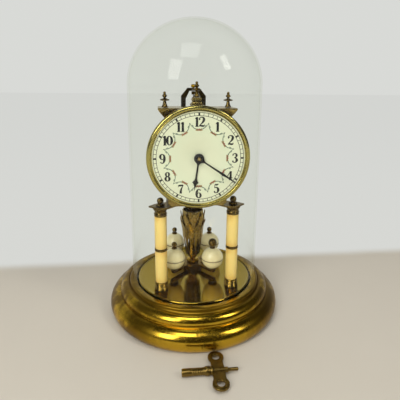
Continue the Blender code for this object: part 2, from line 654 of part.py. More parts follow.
def ratchet_loop():
    """Outline of the ratchet wheel with saw teeth."""
    return tooth_loop(RATCHET_TEETH, 0.0, [(RATCHET_RADIUS - 1.3 * MM, 0.0), (RATCHET_RADIUS, 0.08)])


def make_click():
    """Click beside the ratchet on the back plate, and the bent spring that holds it down."""
    low = BACK_PLATE_Y + PLATE_METAL + GAP
    pivot = (BARREL_AT[0] + 16 * MM, BARREL_AT[1] + 1 * MM)
    nose = RATCHET_RADIUS + 0.4 * MM
    lean = math.radians(40)
    tip_x = BARREL_AT[0] + nose * math.cos(lean) - pivot[0]
    tip_z = BARREL_AT[1] + nose * math.sin(lean) - pivot[1]
    outline = arc(0, 0, 2.6 * MM, -150, 40, 8)
    outline += [(tip_x + 2.6 * MM, tip_z + 3.4 * MM), (tip_x + 0.3 * MM, tip_z + 1.2 * MM), (tip_x, tip_z)]
    body = cut_from_outline("click", [outline], 1.4 * MM, STEEL)
    between(low, low + 1.4 * MM, body)
    head = rod("head", 1.7 * MM, -low - 2.4 * MM, -low - 0.7 * MM, STEEL, ROUND_SMALL)
    click = facing_front(united(body, [head], STEEL), *pivot)
    hang_on("click_axis", (pivot[0], 0, pivot[1]), [click])
    foot = (pivot[0] + 8 * MM, pivot[1] - 4 * MM)
    over = (pivot[0] + tip_x + 4.4 * MM, pivot[1] + tip_z + 4.0 * MM)
    half = 0.45 * MM
    strip = [(foot[0] - half, foot[1]), (foot[0] + half, foot[1]), (foot[0] + half, over[1] - 2 * MM),
             (over[0] + 2 * MM, over[1] + 2 * half), (over[0], over[1] + 2 * half), (over[0], over[1]),
             (over[0] + 2 * MM, over[1]), (foot[0] - half, over[1] - 2 * MM - half)]
    wire = cut_from_outline("click_spring", [strip], 1 * MM, SPRING_STEEL)
    between(low, low + 1 * MM, wire)
    post = rod("post", 1.5 * MM, -low - 1.8 * MM, -low, SPRING_STEEL, ROUND_SMALL)
    post.data.transform(Matrix.Translation((*foot, 0)))
    facing_front(united(wire, [post], SPRING_STEEL), 0, 0)


def make_anchor():
    """Anchor on its arbor, with the upright pin behind the back plate that stands in the fork."""
    lift = ANCHOR_AT[1] - ESCAPE_AT[1]
    clear = ESCAPE_RADIUS + 0.9 * MM
    right = [(0, -1.4 * MM), (2 * MM, -1.7 * MM)]
    right += [(x, y - lift) for x, y in arc(0, 0, clear + 0.3 * MM, 70, 48, 3)]
    right += [(x, y - lift) for x, y in arc(0, 0, clear, 42, 36, 2)]
    right += [(x, y - lift) for x, y in arc(0, 0, clear + 1.6 * MM, 36, 60, 3)]
    right += [(1.6 * MM, 1.8 * MM), (0, 2.2 * MM)]
    outline = right + [(-x, y) for x, y in right[-2:0:-1]]
    body = cut_from_outline("anchor", [outline], 1.2 * MM, STEEL)
    between(-8 * MM, -6.8 * MM, body)
    arbor = rod("arbor", 0.9 * MM, -ANCHOR_PIN_Y - 0.8 * MM, -FRONT_PLATE_Y - GAP, STEEL, ROUND_TINY)
    anchor = facing_front(united(body, [arbor], STEEL), *ANCHOR_AT)
    pin = rod("pin", 0.5 * MM, ANCHOR_AT[1], FORK_Z + 1.5 * MM, STEEL, ROUND_TINY)
    pin.location = (0, ANCHOR_PIN_Y, 0)
    anchor = united(anchor, [pin], STEEL)
    hang_on("anchor_axis", (ANCHOR_AT[0], 0, ANCHOR_AT[1]), [anchor])


# Dial, hands, cornice

def make_dial():
    """Dial case, printed dial and half-round bezel."""
    back = -FRONT_PLATE_Y + GAP
    dial_back = -DIAL_FACE_Y - 0.8 * MM
    case_wall = 0.8 * MM
    case = [(CASE_RADIUS - case_wall, dial_back - GAP), (CASE_RADIUS, dial_back - GAP), (CASE_RADIUS, back),
            (CASE_OPENING_RADIUS, back), (CASE_OPENING_RADIUS, back + case_wall),
            (CASE_RADIUS - case_wall, back + case_wall)]
    facing_front(turned("dial_case", case, DARK_BRASS, ROUND_LARGE, True), *CENTRE_AT)
    dial = turned("dial", ring_profile(DIAL_RADIUS, 3 * MM, dial_back, -DIAL_FACE_Y), DIAL_PAINT,
                  ROUND_LARGE, True)
    facing_front(dial, *CENTRE_AT)
    face = -DIAL_FACE_Y
    bezel = [(BEZEL_INNER_RADIUS, face + GAP), (BEZEL_INNER_RADIUS + 0.4 * MM, face + 1.3 * MM),
             (47.2 * MM, face + 1.9 * MM), (48.2 * MM, face + 1.9 * MM), (49.3 * MM, face + 1.3 * MM),
             (BEZEL_RADIUS - 0.7 * MM, face + 0.4 * MM),
             (BEZEL_RADIUS, face - 0.9 * MM), (BEZEL_RADIUS, face - 3.6 * MM),
             (CASE_RADIUS + GAP, face - 3.6 * MM), (CASE_RADIUS + GAP, face + GAP)]
    facing_front(turned("bezel", bezel, BRASS, ROUND_LARGE, True), *CENTRE_AT)


def hand_outline(length, stations):
    """Outline of a hand along +Y from (share of length, half width) stations, with a round boss."""
    boss = 4.7 * MM
    side = [(width, share * length) for share, width in stations]
    left = [(-x, y) for x, y in side[::-1]]
    return arc(0, 0, boss, -240, 60, 12) + side + [(0, length)] + left


def make_hands(centre, hour_wheel):
    """Hour and minute hands, the nut that holds them, and the two bodies that they turn with."""
    minute_sides = [(0.15, 0.7 * MM), (0.5, 0.9 * MM), (0.66, 1.3 * MM), (0.74, 0.8 * MM), (0.97, 0.5 * MM)]
    hour_sides = [(0.2, 0.8 * MM), (0.6, 0.9 * MM), (0.67, 1.6 * MM), (0.73, 3.2 * MM), (0.79, 1.5 * MM),
                  (0.85, 0.7 * MM)]
    made = []
    for name, length, sides, y, angle, bore in (
            ("hour_hand", HOUR_HAND_LENGTH, hour_sides, HOUR_HAND_Y, HOUR_HAND_ANGLE,
             HOUR_PIPE_RADIUS + GAP),
            ("minute_hand", MINUTE_HAND_LENGTH, minute_sides, MINUTE_HAND_Y, MINUTE_HAND_ANGLE,
             MINUTE_ARBOR_RADIUS + GAP)):
        hand = cut_from_outline(name, [hand_outline(length, sides), circle(0, 0, bore, ROUND_TINY)],
                                HAND_THICKNESS, BLACK)
        hand.data.transform(Matrix.Rotation(-math.radians(angle), 4, "Z"))
        facing_front(hand, CENTRE_AT[0], CENTRE_AT[1], y + HAND_THICKNESS / 2)
        made.append(hand)
    low = -MINUTE_HAND_Y + GAP
    nut_side = [(1.0 * MM, low + 1.7 * MM), (1.5 * MM, low + 1.6 * MM), (1.9 * MM, low + 0.8 * MM),
                (2.0 * MM, low), (1.0 * MM, low)]
    nut = turned("hand_nut", nut_side, BRASS, ROUND_SMALL, True)
    facing_front(nut, *CENTRE_AT)
    axis = (0, 0, CENTRE_Z)
    hang_on("minute_axis", axis, [centre, made[1], nut])
    hang_on("hour_axis", axis, [hour_wheel, made[0]])


def lofted(name, sections, finish):
    """A four-sided piece through (z, half width, half depth, middle y) sections."""
    work = bmesh.new()
    rings = []
    for z, half_x, half_y, mid_y in sections:
        corners = [(-half_x, mid_y - half_y), (half_x, mid_y - half_y), (half_x, mid_y + half_y),
                   (-half_x, mid_y + half_y)]
        rings.append([work.verts.new((x, y, z)) for x, y in corners])
    work.faces.new(rings[0][::-1])
    work.faces.new(rings[-1])
    for low, high in zip(rings, rings[1:]):
        for i in range(4):
            j = (i + 1) % 4
            work.faces.new((low[i], low[j], high[j], high[i]))
    bmesh.ops.recalc_face_normals(work, faces=work.faces)
    data = bpy.data.meshes.new(name)
    work.to_mesh(data)
    work.free()
    return add_object(name, data, finish)


def make_cornice():
    """Cornice with hollow moulded sides and a stepped pedestal in the middle."""
    sections = []
    narrow = 5 * MM
    steps = 5
    lip = 1.2 * MM
    for i in range(steps + 1):
        lean = math.pi / 2 * i / steps
        inset = narrow * math.cos(lean) ** 1.5 + 3.5 * MM * (1 - i / steps)
        z = CORNICE_Z + (CORNICE_TOP_Z - lip - CORNICE_Z) * i / steps
        sections.append((z, CORNICE_HALF_WIDTH - inset, CORNICE_HALF_DEPTH - 0.5 * inset, CORNICE_Y))
    sections.append((CORNICE_TOP_Z, CORNICE_HALF_WIDTH, CORNICE_HALF_DEPTH, CORNICE_Y))
    wide = 6.2 * MM
    small = 4.6 * MM
    step_z = CORNICE_TOP_Z + 5 * MM
    for z, half in ((CORNICE_TOP_Z, wide), (step_z - 1 * MM, wide), (step_z, small), (PEDESTAL_TOP_Z,
            small)):
        sections.append((z, half, half, FINIAL_Y))
    lofted("cornice", sections, BRASS)
    profile = [(0, 15.2), (1.1, 14.8), (1.4, 14.0), (1.3, 12.6), (1.9, 12.0), (2.45, 10.9), (1.5, 9.8),
               (1.3, 8.9), (2.6, 8.2), (4.7, 7.3), (4.8, 6.8), (1.5, 5.8), (1.8, 4.6), (2.3, 2.4),
               (3.0, 1.1), (3.2, 0), (0, 0)]
    finial = [(r * MM, z * MM) for r, z in profile]
    for side, x, foot in (("left", -FINIAL_X, CORNICE_TOP_Z), ("centre", 0, PEDESTAL_TOP_Z),
                          ("right", FINIAL_X, CORNICE_TOP_Z)):
        piece = turned(f"finial_{side}", finial, DARK_BRASS, ROUND_SMALL)
        piece.location = (x, FINIAL_Y, foot + GAP)


# Suspension and pendulum

def make_suspension():
    """Bracket, its thumb screw, the suspension spring with its top block, and the fork."""
    inner = 8.5 * MM
    arch_z = SPRING_TOP_Z + 0.4 * MM
    right = [(BRACKET_HALF_WIDTH, BRACKET_FOOT_Z), (BRACKET_HALF_WIDTH, BRACKET_SHOULDER_Z),
             (6.5 * MM, BRACKET_TOP_Z)]
    hollow = [(4.5 * MM, arch_z), (inner, BRACKET_SHOULDER_Z - 3 * MM), (inner, BRACKET_FOOT_Z)]
    outline = right + [(-x, z) for x, z in right[::-1]] + [(-x, z) for x, z in hollow[::-1]] + hollow
    frame = facing_front(cut_from_outline("suspension_bracket", [outline], BRACKET_DEPTH, DARK_BRASS), 0, 0,
                         PENDULUM_Y)
    back = BACK_PLATE_Y + PLATE_METAL + GAP
    reach = PENDULUM_Y - BRACKET_DEPTH / 2 + 1 * MM - back
    feet = [block("foot", (4 * MM, reach, 8 * MM), (side * 11 * MM, back + reach / 2,
                                                    BRACKET_FOOT_Z + 5 * MM),
                  DARK_BRASS) for side in (-1, 1)]
    frame = united(frame, feet, DARK_BRASS)
    drill = rod("drill", 1.4 * MM, arch_z - 3 * MM, BRACKET_TOP_Z + 3 * MM, DARK_BRASS, ROUND_TINY)
    drill.location = (0, PENDULUM_Y, 0)
    drilled(frame, [drill], DARK_BRASS)
    head = BRACKET_TOP_Z + GAP
    screw = turned("suspension_screw", [(0, head + 3.6 * MM), (1.9 * MM, head + 3.6 * MM), (2.6 * MM,
            head + 3 * MM),
                                        (2.6 * MM, head + 1 * MM), (2.0 * MM, head), (1.0 * MM, head),
                                        (1.0 * MM, arch_z + 0.2 * MM), (0, arch_z + 0.2 * MM)],
                   BRASS, ROUND_SMALL)
    screw.location = (0, PENDULUM_Y, 0)
    block_height = 3.4 * MM
    top = block("suspension_spring", (4 * MM, 3 * MM, block_height),
                (0, PENDULUM_Y, SPRING_TOP_Z - block_height / 2), STEEL)
    length = SPRING_TOP_Z - SPRING_BOTTOM_Z - 1 * MM
    ribbon = block("ribbon", (1.2 * MM, 0.4 * MM, length), (0, PENDULUM_Y, SPRING_BOTTOM_Z + length / 2),
                   STEEL)
    united(top, [ribbon], STEEL)
    clamp = 2.5 * MM
    slot = 1.0 * MM
    tip = ANCHOR_PIN_Y - 1.8 * MM - PENDULUM_Y
    right = [(clamp, clamp), (clamp, -clamp), (2 * MM, tip), (slot, tip), (slot, -clamp - 1 * MM)]
    outline = right + [(-x, y) for x, y in right[::-1]]
    hole = [(-1.1 * MM, -1.1 * MM), (1.1 * MM, -1.1 * MM), (1.1 * MM, 1.1 * MM), (-1.1 * MM, 1.1 * MM)]
    fork = cut_from_outline("fork", [outline, hole], 1.6 * MM, BRASS)
    fork.location = (0, PENDULUM_Y, FORK_Z)


def make_crown():
    """Open crown round the spindle: a flared tube, with a skirt of pointed leaves and upright slots."""
    wall = 0.9 * MM
    leaf_z = 84 * MM
    tip_z = 105.5 * MM
    waist_z = 64 * MM
    profile = [(12.3 * MM, CROWN_TOP_Z), (12.3 * MM, leaf_z + 9 * MM), (13.9 * MM, tip_z),
               (14.6 * MM, tip_z), (12.4 * MM, leaf_z), (10.0 * MM, waist_z), (8.6 * MM, CROWN_FOOT_Z),
               (3.0 * MM, CROWN_FOOT_Z), (3.0 * MM, CROWN_FOOT_Z + wall),
               (8.6 * MM - wall, CROWN_FOOT_Z + wall), (10.0 * MM - wall, waist_z),
               (12.3 * MM - wall, leaf_z), (12.3 * MM - wall, CROWN_TOP_Z)]
    crown = turned("pendulum_crown", profile, DARK_BRASS, ROUND_MEDIUM, True)
    cutters = []
    for i in range(CROWN_SLOTS):
        slot = block("slot", (8 * MM, CROWN_SLOT_WIDTH, 24 * MM), (10.5 * MM, 0, 71 * MM), DARK_BRASS)
        slot.data.transform(Matrix.Rotation(2 * math.pi * i / CROWN_SLOTS, 4, "Z"))
        cutters.append(slot)
    for i in range(CROWN_LEAVES):
        turn = Matrix.Rotation(2 * math.pi * (i + 0.5) / CROWN_LEAVES, 4, "Z")
        notch = cut_from_outline("notch", [[(0, leaf_z + 6 * MM), (5.4 * MM, tip_z + 2 * MM),
                                            (-5.4 * MM, tip_z + 2 * MM)]], 6 * MM, DARK_BRASS)
        upright = Matrix.Rotation(math.pi / 2, 4, "Z") @ Matrix.Rotation(math.pi / 2, 4, "X")
        notch.data.transform(turn @ Matrix.Translation((15.7 * MM, 0, 0)) @ upright)
        cutters.append(notch)
    crown = drilled(crown, cutters, DARK_BRASS)
    crown.location = (0, PENDULUM_Y, 0)
    return crown


def make_pendulum():
    """Table with four arms, spindle, crown, regulating disc, and four balls with their finials."""
    arm = 2.4 * MM
    hub = 11 * MM
    reach = BALL_RING_RADIUS + 3 * MM
    open_to = math.degrees(math.asin(arm / hub))
    outline = []
    for i in range(4):
        base = 45 + BALL_TURN + 90 * i
        for side, spread in ((-1, -1), (1, 1)):
            end = math.degrees(math.asin(arm / reach)) * spread
            root = math.radians(base + open_to * side)
            tip = math.radians(base + end)
            near = (hub * math.cos(root), hub * math.sin(root))
            far = (reach * math.cos(tip), reach * math.sin(tip))
            outline += [near, far] if side < 0 else [far, near]
        outline += arc(0, 0, hub, base + open_to, base + 90 - open_to, 5)[1:-1]
    table = cut_from_outline("pendulum_table", [outline], TABLE_THICKNESS, DARK_BRASS)
    table.location = (0, PENDULUM_Y, TABLE_Z + TABLE_THICKNESS / 2)
    table_top = TABLE_Z + TABLE_THICKNESS
    spindle = [(0, SPRING_BOTTOM_Z - GAP), (1.6 * MM, SPRING_BOTTOM_Z - GAP), (2.0 * MM, 114 * MM),
               (1.2 * MM, 112.5 * MM), (1.2 * MM, 98 * MM), (1.9 * MM, 96 * MM), (1.5 * MM, 94 * MM),
               (1.5 * MM, 72 * MM), (2.1 * MM, 70 * MM), (1.6 * MM, 68 * MM), (2.0 * MM, 55 * MM),
               (2.6 * MM, 54 * MM), (2.6 * MM, CROWN_FOOT_Z - 0.6 * MM), (5.4 * MM, CROWN_FOOT_Z - 0.6 * MM),
               (5.6 * MM, 50 * MM), (4.2 * MM, 47.4 * MM), (3.0 * MM, 46.2 * MM), (2.6 * MM, 45.6 * MM),
               (2.6 * MM, table_top + GAP), (0, table_top + GAP)]
    stem = turned("pendulum_spindle", spindle, BRASS, ROUND_SMALL)
    stem.location = (0, PENDULUM_Y, 0)
    disc = turned("regulator_disc", [(2.9 * MM, 45.2 * MM), (6.6 * MM, 45.2 * MM), (7.2 * MM, 44.6 * MM),
                                     (7.2 * MM, 42.8 * MM), (6.6 * MM, table_top + GAP), (2.9 * MM,
                                     table_top + GAP)],
                  BRASS, ROUND_MEDIUM, True)
    disc.location = (0, PENDULUM_Y, 0)
    axis = hang_on("pendulum_axis", (0, PENDULUM_Y, 0), [table, stem, make_crown()])
    regulator = hang_on("regulator_axis", (0, PENDULUM_Y, 0), [disc])
    regulator.parent = axis
    regulator.location = (0, 0, 0)
    for i, name in enumerate(("back_right", "back_left", "front_left", "front_right")):
        angle = math.radians(45 + BALL_TURN + 90 * i)
        x = BALL_RING_RADIUS * math.cos(angle)
        y = PENDULUM_Y + BALL_RING_RADIUS * math.sin(angle)
        make_ball(name, (x, y, 0), 1.6 if name == "front_right" else 1.0)


def make_ball(name, place, knob_scale):
    """One weight ball standing on its arm, with a collar and knob on top."""
    foot = TABLE_Z + TABLE_THICKNESS + GAP
    flat = 3.0 * MM
    low = -math.degrees(math.acos(flat / BALL_RADIUS))
    profile = [(0, BALL_Z - BALL_RADIUS * math.sin(math.radians(low)))]
    profile += arc(0, BALL_Z, BALL_RADIUS, -low, low, 10)
    profile += [(flat, foot), (0, foot)]
    ball = turned(f"ball_{name}", profile, CREAM, ROUND_SMALL)
    top = BALL_Z - BALL_RADIUS * math.sin(math.radians(low)) + GAP
    collar = 2.0 * MM
    knob = 3.0 * MM * knob_scale
    knob_z = top + 2.2 * MM + 0.9 * knob
    shape = [(0, knob_z + knob)] + arc(0, knob_z, knob, 60, -50, 4)
    shape += [(collar, top + 1.6 * MM), (collar + 1.1 * MM, top + 1.1 * MM), (collar + 1.1 * MM, top), (0,
            top)]
    finial = turned(f"ball_finial_{name}", shape, DARK_BRASS, ROUND_SMALL)
    ball.location = place
    finial.location = place


def make_key():
    """Double-ended key: square socket, ringed barrel, bow with two loops, and a thin pin end."""
    ring = KEY_AXIS_Z
    radius = KEY_BARREL_RADIUS
    start = KEY_SOCKET_X - KEY_AT[0]
    end = KEY_PIN_X - KEY_AT[0]
    profile = [(0, end), (1.1 * MM, end), (1.5 * MM, end - 1 * MM), (1.5 * MM, end - 9 * MM),
               (2.3 * MM, end - 9.5 * MM), (2.3 * MM, -4 * MM), (ring, -5 * MM), (ring, -12 * MM),
               (radius, -14 * MM), (radius, start + 1 * MM), (radius - 0.5 * MM, start), (0, start)]
    stem = turned("winding_key", profile, DARK_BRASS, ROUND_SMALL)
    waist = 5.8 * MM
    outline = arc(0, KEY_LOOP_OFFSET, KEY_LOOP_RADIUS, -38, 218, 16)
    outline += [(-waist, 5 * MM), (-waist, -5 * MM)]
    outline += arc(0, -KEY_LOOP_OFFSET, KEY_LOOP_RADIUS, 142, 398, 16)
    outline += [(waist, -5 * MM), (waist, 5 * MM)]
    holes = [circle(0, side * KEY_LOOP_OFFSET, KEY_HOLE_RADIUS, ROUND_SMALL) for side in (-1, 1)]
    bow = cut_from_outline("bow", [outline] + holes, 2 * MM, DARK_BRASS)
    bow.location = (KEY_AT[0], KEY_AT[1], KEY_AXIS_Z)
    turn = Matrix.Rotation(math.pi / 2, 4, "Y")
    stem.matrix_world = Matrix.Translation((KEY_AT[0], KEY_AT[1], KEY_AXIS_Z)) @ turn
    stem = united(stem, [bow], DARK_BRASS)
    side = 3.8 * MM
    depth = 13 * MM
    middle = (KEY_SOCKET_X + depth / 2 - 1 * MM, KEY_AT[1], KEY_AXIS_Z)
    socket = block("socket", (depth, side, side), middle, DARK_BRASS)
    drilled(stem, [socket], DARK_BRASS)


def main():
    """Build the clock from the table up."""
    clear_scene()
    make_base()
    make_dome()
    make_column("left", -COLUMN_X)
    make_column("right", COLUMN_X)
    make_platform()
    make_plates()
    centre, cannon_turn = make_train()
    hour_wheel = make_motion_work(cannon_turn)
    make_barrel()
    make_click()
    make_anchor()
    make_dial()
    make_hands(centre, hour_wheel)
    make_cornice()
    make_suspension()
    make_pendulum()
    make_key()


main()
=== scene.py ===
"""The looks of a four-hundred-day anniversary clock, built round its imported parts.

Classes hold their sizes in millimetres and meshes are made in metres. The dial faces -Y, +Z is up,
and every finished object sits at the origin with its place in its mesh.
"""

import logging
import math
from dataclasses import dataclass
from enum import Enum
from typing import Iterable, Optional, Sequence, Union

import bmesh
import bpy
import numpy as np
from mathutils import Matrix


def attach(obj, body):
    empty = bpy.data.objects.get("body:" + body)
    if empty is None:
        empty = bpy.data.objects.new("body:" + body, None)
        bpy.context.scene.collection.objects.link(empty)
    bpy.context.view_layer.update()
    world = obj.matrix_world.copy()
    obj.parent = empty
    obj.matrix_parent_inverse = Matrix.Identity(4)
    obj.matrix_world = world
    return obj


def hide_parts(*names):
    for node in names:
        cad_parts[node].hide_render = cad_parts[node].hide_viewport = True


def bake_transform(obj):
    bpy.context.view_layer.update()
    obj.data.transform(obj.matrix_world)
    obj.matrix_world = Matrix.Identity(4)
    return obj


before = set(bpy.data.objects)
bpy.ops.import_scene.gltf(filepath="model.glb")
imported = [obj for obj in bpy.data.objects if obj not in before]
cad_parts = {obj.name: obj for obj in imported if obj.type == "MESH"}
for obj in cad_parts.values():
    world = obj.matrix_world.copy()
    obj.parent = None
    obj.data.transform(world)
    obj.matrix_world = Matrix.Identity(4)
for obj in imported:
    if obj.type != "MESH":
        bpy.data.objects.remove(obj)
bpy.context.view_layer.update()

MM = 0.001
WELD = 2e-6
FLAT_ANGLE = math.radians(1.5)
BEVEL_ANGLE = math.radians(38)
# Painted shade: the flanks of the base, between these distances from x = 0, are darkened
SHADED_FLANK_FROM, SHADED_FLANK_TO = 0.020, 0.075
Colour = tuple[float, float, float]
Point = tuple[float, float, float]
Pairs = Sequence[tuple[float, float]]
Material = bpy.types.Material
Mesh = bpy.types.Mesh
Object = bpy.types.Object
Socket = bpy.types.NodeSocket

logging.basicConfig(level=logging.INFO, format="%(message)s")
LOG = logging.getLogger("clock")


class Axis(Enum):
    """The direction that a piece was turned or brushed about."""

    UPRIGHT = "z"
    FRONT = "y"
    ACROSS = "x"


class Body:
    """Names of the moving bodies that pieces ride on."""

    FRAME = "clock_frame"
    PENDULUM = "pendulum"


# Shader arithmetic

class Wire:
    """A number inside a material, with Python's arithmetic. Each operation adds one Math node."""

    def __init__(self, recipe: "Recipe", socket: Socket) -> None:
        """Keep the material being made and the socket that gives the number."""
        self.recipe = recipe
        self.socket = socket

    def _math(self, operation: str, first: "Number", second: "Number") -> "Wire":
        """Return the result of a two-number Math node."""
        node = self.recipe.node("ShaderNodeMath", {"operation": operation}, {0: first, 1: second})
        return Wire(self.recipe, node.outputs[0])

    def __add__(self, other: "Number") -> "Wire":
        """Sum."""
        return self._math("ADD", self, other)

    def __mul__(self, other: "Number") -> "Wire":
        """Product."""
        return self._math("MULTIPLY", self, other)

    def __sub__(self, other: "Number") -> "Wire":
        """Difference."""
        return self._math("SUBTRACT", self, other)

    def __rsub__(self, other: "Number") -> "Wire":
        """Difference, with this number taken away."""
        return self._math("SUBTRACT", other, self)

    def __pow__(self, other: "Number") -> "Wire":
        """Power."""
        return self._math("POWER", self, other)

    def __abs__(self) -> "Wire":
        """Size without sign."""
        return self._math("ABSOLUTE", self, 0.0)

    __radd__ = __add__
    __rmul__ = __mul__

    def most(self, other: "Number") -> "Wire":
        """The larger of two numbers."""
        return self._math("MAXIMUM", self, other)

    def between(self, low: float, high: float) -> "Wire":
        """Return 0 below low, 1 above high and a smooth rise in between."""
        settings = {"interpolation_type": "SMOOTHSTEP"}
        inputs = {"Value": self, "From Min": low, "From Max": high}
        return Wire(self.recipe, self.recipe.node("ShaderNodeMapRange", settings, inputs).outputs[0])


Number = Union[float, Wire]


class Recipe:
    """One material's node tree, with the few kinds of node that the finishes need."""

    def __init__(self, name: str) -> None:
        """Start an empty material.

        Args:
            name: the finish in a maker's words.
        """
        self.material = bpy.data.materials.new(name)
        self.material.use_nodes = True
        self.tree = self.material.node_tree
        self.tree.nodes.clear()

    def node(self, kind: str, settings: Optional[dict] = None,
             inputs: Optional[dict] = None) -> bpy.types.Node:
        """Add any node.

        Args:
            kind: the node's type.
            settings: properties set before the inputs; "stops" is a ramp's (place, colour) list.
            inputs: values or links by socket name or number.

        Returns:
            The new node.
        """
        made = self.tree.nodes.new(kind)
        for key, value in (settings or {}).items():
            if key == "stops":
                self._stops(made.color_ramp.elements, value)
            else:
                setattr(made, key, value)
        for key, value in (inputs or {}).items():
            self._feed(made.inputs[key], value)
        return made

    @staticmethod
    def _stops(elements: bpy.types.ColorRampElements, stops: Sequence[tuple[float, Colour]]) -> None:
        """Set a ramp's stops."""
        while len(elements) < len(stops):
            elements.new(0.5)
        for element, (place, colour) in zip(elements, stops):
            element.position = place
            element.color = (*colour, 1.0)

    def _feed(self, socket: Socket, value: object) -> None:
        """Link a socket or set its value, a colour getting full opacity."""
        if isinstance(value, Wire):
            self.tree.links.new(value.socket, socket)
        elif isinstance(value, Socket):
            self.tree.links.new(value, socket)
        elif socket.type == "RGBA":
            socket.default_value = (*value, 1.0)
        else:
            socket.default_value = value

    def place(self, centre: Point = (0, 0, 0), scale: Point = (1, 1, 1)) -> Socket:
        """Object coordinates moved so that centre, in millimetres, is the middle, then stretched."""
        source = self.node("ShaderNodeTexCoord").outputs["Object"]
        shift = tuple(-c * MM * s for c, s in zip(centre, scale))
        inputs = {"Vector": source, "Location": shift, "Scale": scale}
        return self.node("ShaderNodeMapping", {}, inputs).outputs["Vector"]

    def parts(self, vector: Socket) -> tuple[Wire, Wire, Wire]:
        """Split a vector into three numbers."""
        split = self.node("ShaderNodeSeparateXYZ", {}, {0: vector})
        return tuple(Wire(self, out) for out in split.outputs)

    def lathe(self, axis: Axis, centre: Point) -> Socket:
        """Coordinates (distance from the axis, place along it, 0): the same all the way round a piece."""
        x, y, z = self.parts(self.place(centre))
        across, other, along = {Axis.UPRIGHT: (x, y, z), Axis.FRONT: (x, z, y), Axis.ACROSS: (y, z, x)}[axis]
        radius = (across * across + other * other) ** 0.5
        return self.node("ShaderNodeCombineXYZ", {}, {0: radius, 1: along}).outputs[0]

    def noise(self, vector: Socket, size: float, detail: float = 3.0, rough: float = 0.55) -> Wire:
        """Cloudy noise whose blotches are about size millimetres wide."""
        inputs = {"Vector": vector, "Scale": 1 / (size * MM), "Detail": detail, "Roughness": rough}
        return Wire(self, self.node("ShaderNodeTexNoise", {}, inputs).outputs[0])

    def specks(self, vector: Socket, size: float, radius: float) -> Wire:
        """Round specks: 1 at the middle of each cell of this size, 0 past radius cells from it."""
        node = self.node("ShaderNodeTexVoronoi", {}, {"Vector": vector, "Scale": 1 / (size * MM)})
        return 1 - Wire(self, node.outputs["Distance"]).between(radius * 0.4, radius)

    def mix(self, share: Number, first: object, second: object, blend: str = "MIX") -> Socket:
        """A colour share of the way from the first to the second."""
        settings = {"data_type": "RGBA", "blend_type": blend}
        return self.node("ShaderNodeMix", settings, {0: share, 6: first, 7: second}).outputs[2]

    def bump(self, height: Wire, depth: float, strength: float = 1.0) -> Socket:
        """A normal from a height of up to depth millimetres."""
        inputs = {"Height": height, "Distance": depth * MM, "Strength": strength}
        return self.node("ShaderNodeBump", {}, inputs).outputs[0]

    def done(self, shader: Socket) -> Material:
        """Send the shader to the output and return the material."""
        self.node("ShaderNodeOutputMaterial", {}, {"Surface": shader})
        return self.material

    def principled(self, inputs: dict) -> Material:
        """Finish with one Principled shader."""
        return self.done(self.node("ShaderNodeBsdfPrincipled", {}, inputs).outputs[0])


# Finishes

@dataclass(frozen=True)
class Brass:
    """Lacquered brass gone patchy: bright metal, brown tarnish in clouds, lathe lines and fine scratches."""

    name: str
    bright: Colour = (0.66, 0.41, 0.035)
    brown: Colour = (0.10, 0.048, 0.004)
    tarnish: float = 0.5
    cloud: float = 26.0
    gloss: float = 0.16
    axis: Axis = Axis.UPRIGHT
    centre: Point = (0, 0, 0)
    # band: a ring between two distances from the axis that is darkened as painted shade
    band: tuple[float, float] = (0.0, 0.0)
    # flank: how strongly the far sides are darkened in patches, painted shade
    flank: float = 0.0

    def material(self) -> Material:
        """Build the material: tarnish darkens and dulls the metal where cloudy noise is high.

        Painted shade also darkens and dulls it in a band between two distances from the axis, and on the
        flanks, far from x = 0.
        """
        r = Recipe(self.name)
        at = r.place()
        round_it = r.lathe(self.axis, self.centre)
        clouds = r.noise(at, self.cloud, 6.0, 0.62)
        spots = r.specks(r.place(scale=(1, 1.3, 0.8)), self.cloud * 0.22, 0.34) * r.noise(at, 9.0)
        lines = r.noise(round_it, 0.55, 2.0)
        scratch = r.noise(r.place(scale=(1.0, 14.0, 3.0)), 5.0, 2.0, 0.7).between(0.60, 0.72)
        worn = (clouds + spots * 0.25 + lines * 0.08 - self.tarnish * 0.12).between(
            0.70 - 0.28 * self.tarnish, 0.86 - 0.16 * self.tarnish)
        tint = r.mix(r.noise(at, 70.0, 2.0), self.bright,
                     tuple(c * s for c, s in zip(self.bright, (0.82, 0.86, 0.9))))
        # Painted shade: a darker ring between two radii, streaked by the lathe lines, carried on in worn
        if self.band[1]:
            radius, _, _ = r.parts(round_it)
            low, high = self.band
            inside = radius.between(low * MM, (low + 1.2) * MM) - radius.between((high - 1.2) * MM, high * MM)
            worn = worn.most(inside * (0.55 + lines * 0.5))
        # Painted shade: patchy darkening on the flanks far from x = 0, carried on in worn
        if self.flank:
            x, _, _ = r.parts(at)
            worn = worn.most(abs(x).between(SHADED_FLANK_FROM, SHADED_FLANK_TO) * clouds.between(0.32, 0.52) * self.flank)
        colour = r.mix(worn * 0.88, tint, self.brown)
        rough = self.gloss + worn * 0.2 + lines * 0.07 + scratch * 0.12
        height = lines * 0.6 + scratch * 0.5 + r.noise(at, 1.1, 3.0) * 0.35
        return r.principled({"Base Color": colour, "Metallic": 1.0, "Roughness": rough,
                             "Normal": r.bump(height, 0.02, 0.55)})


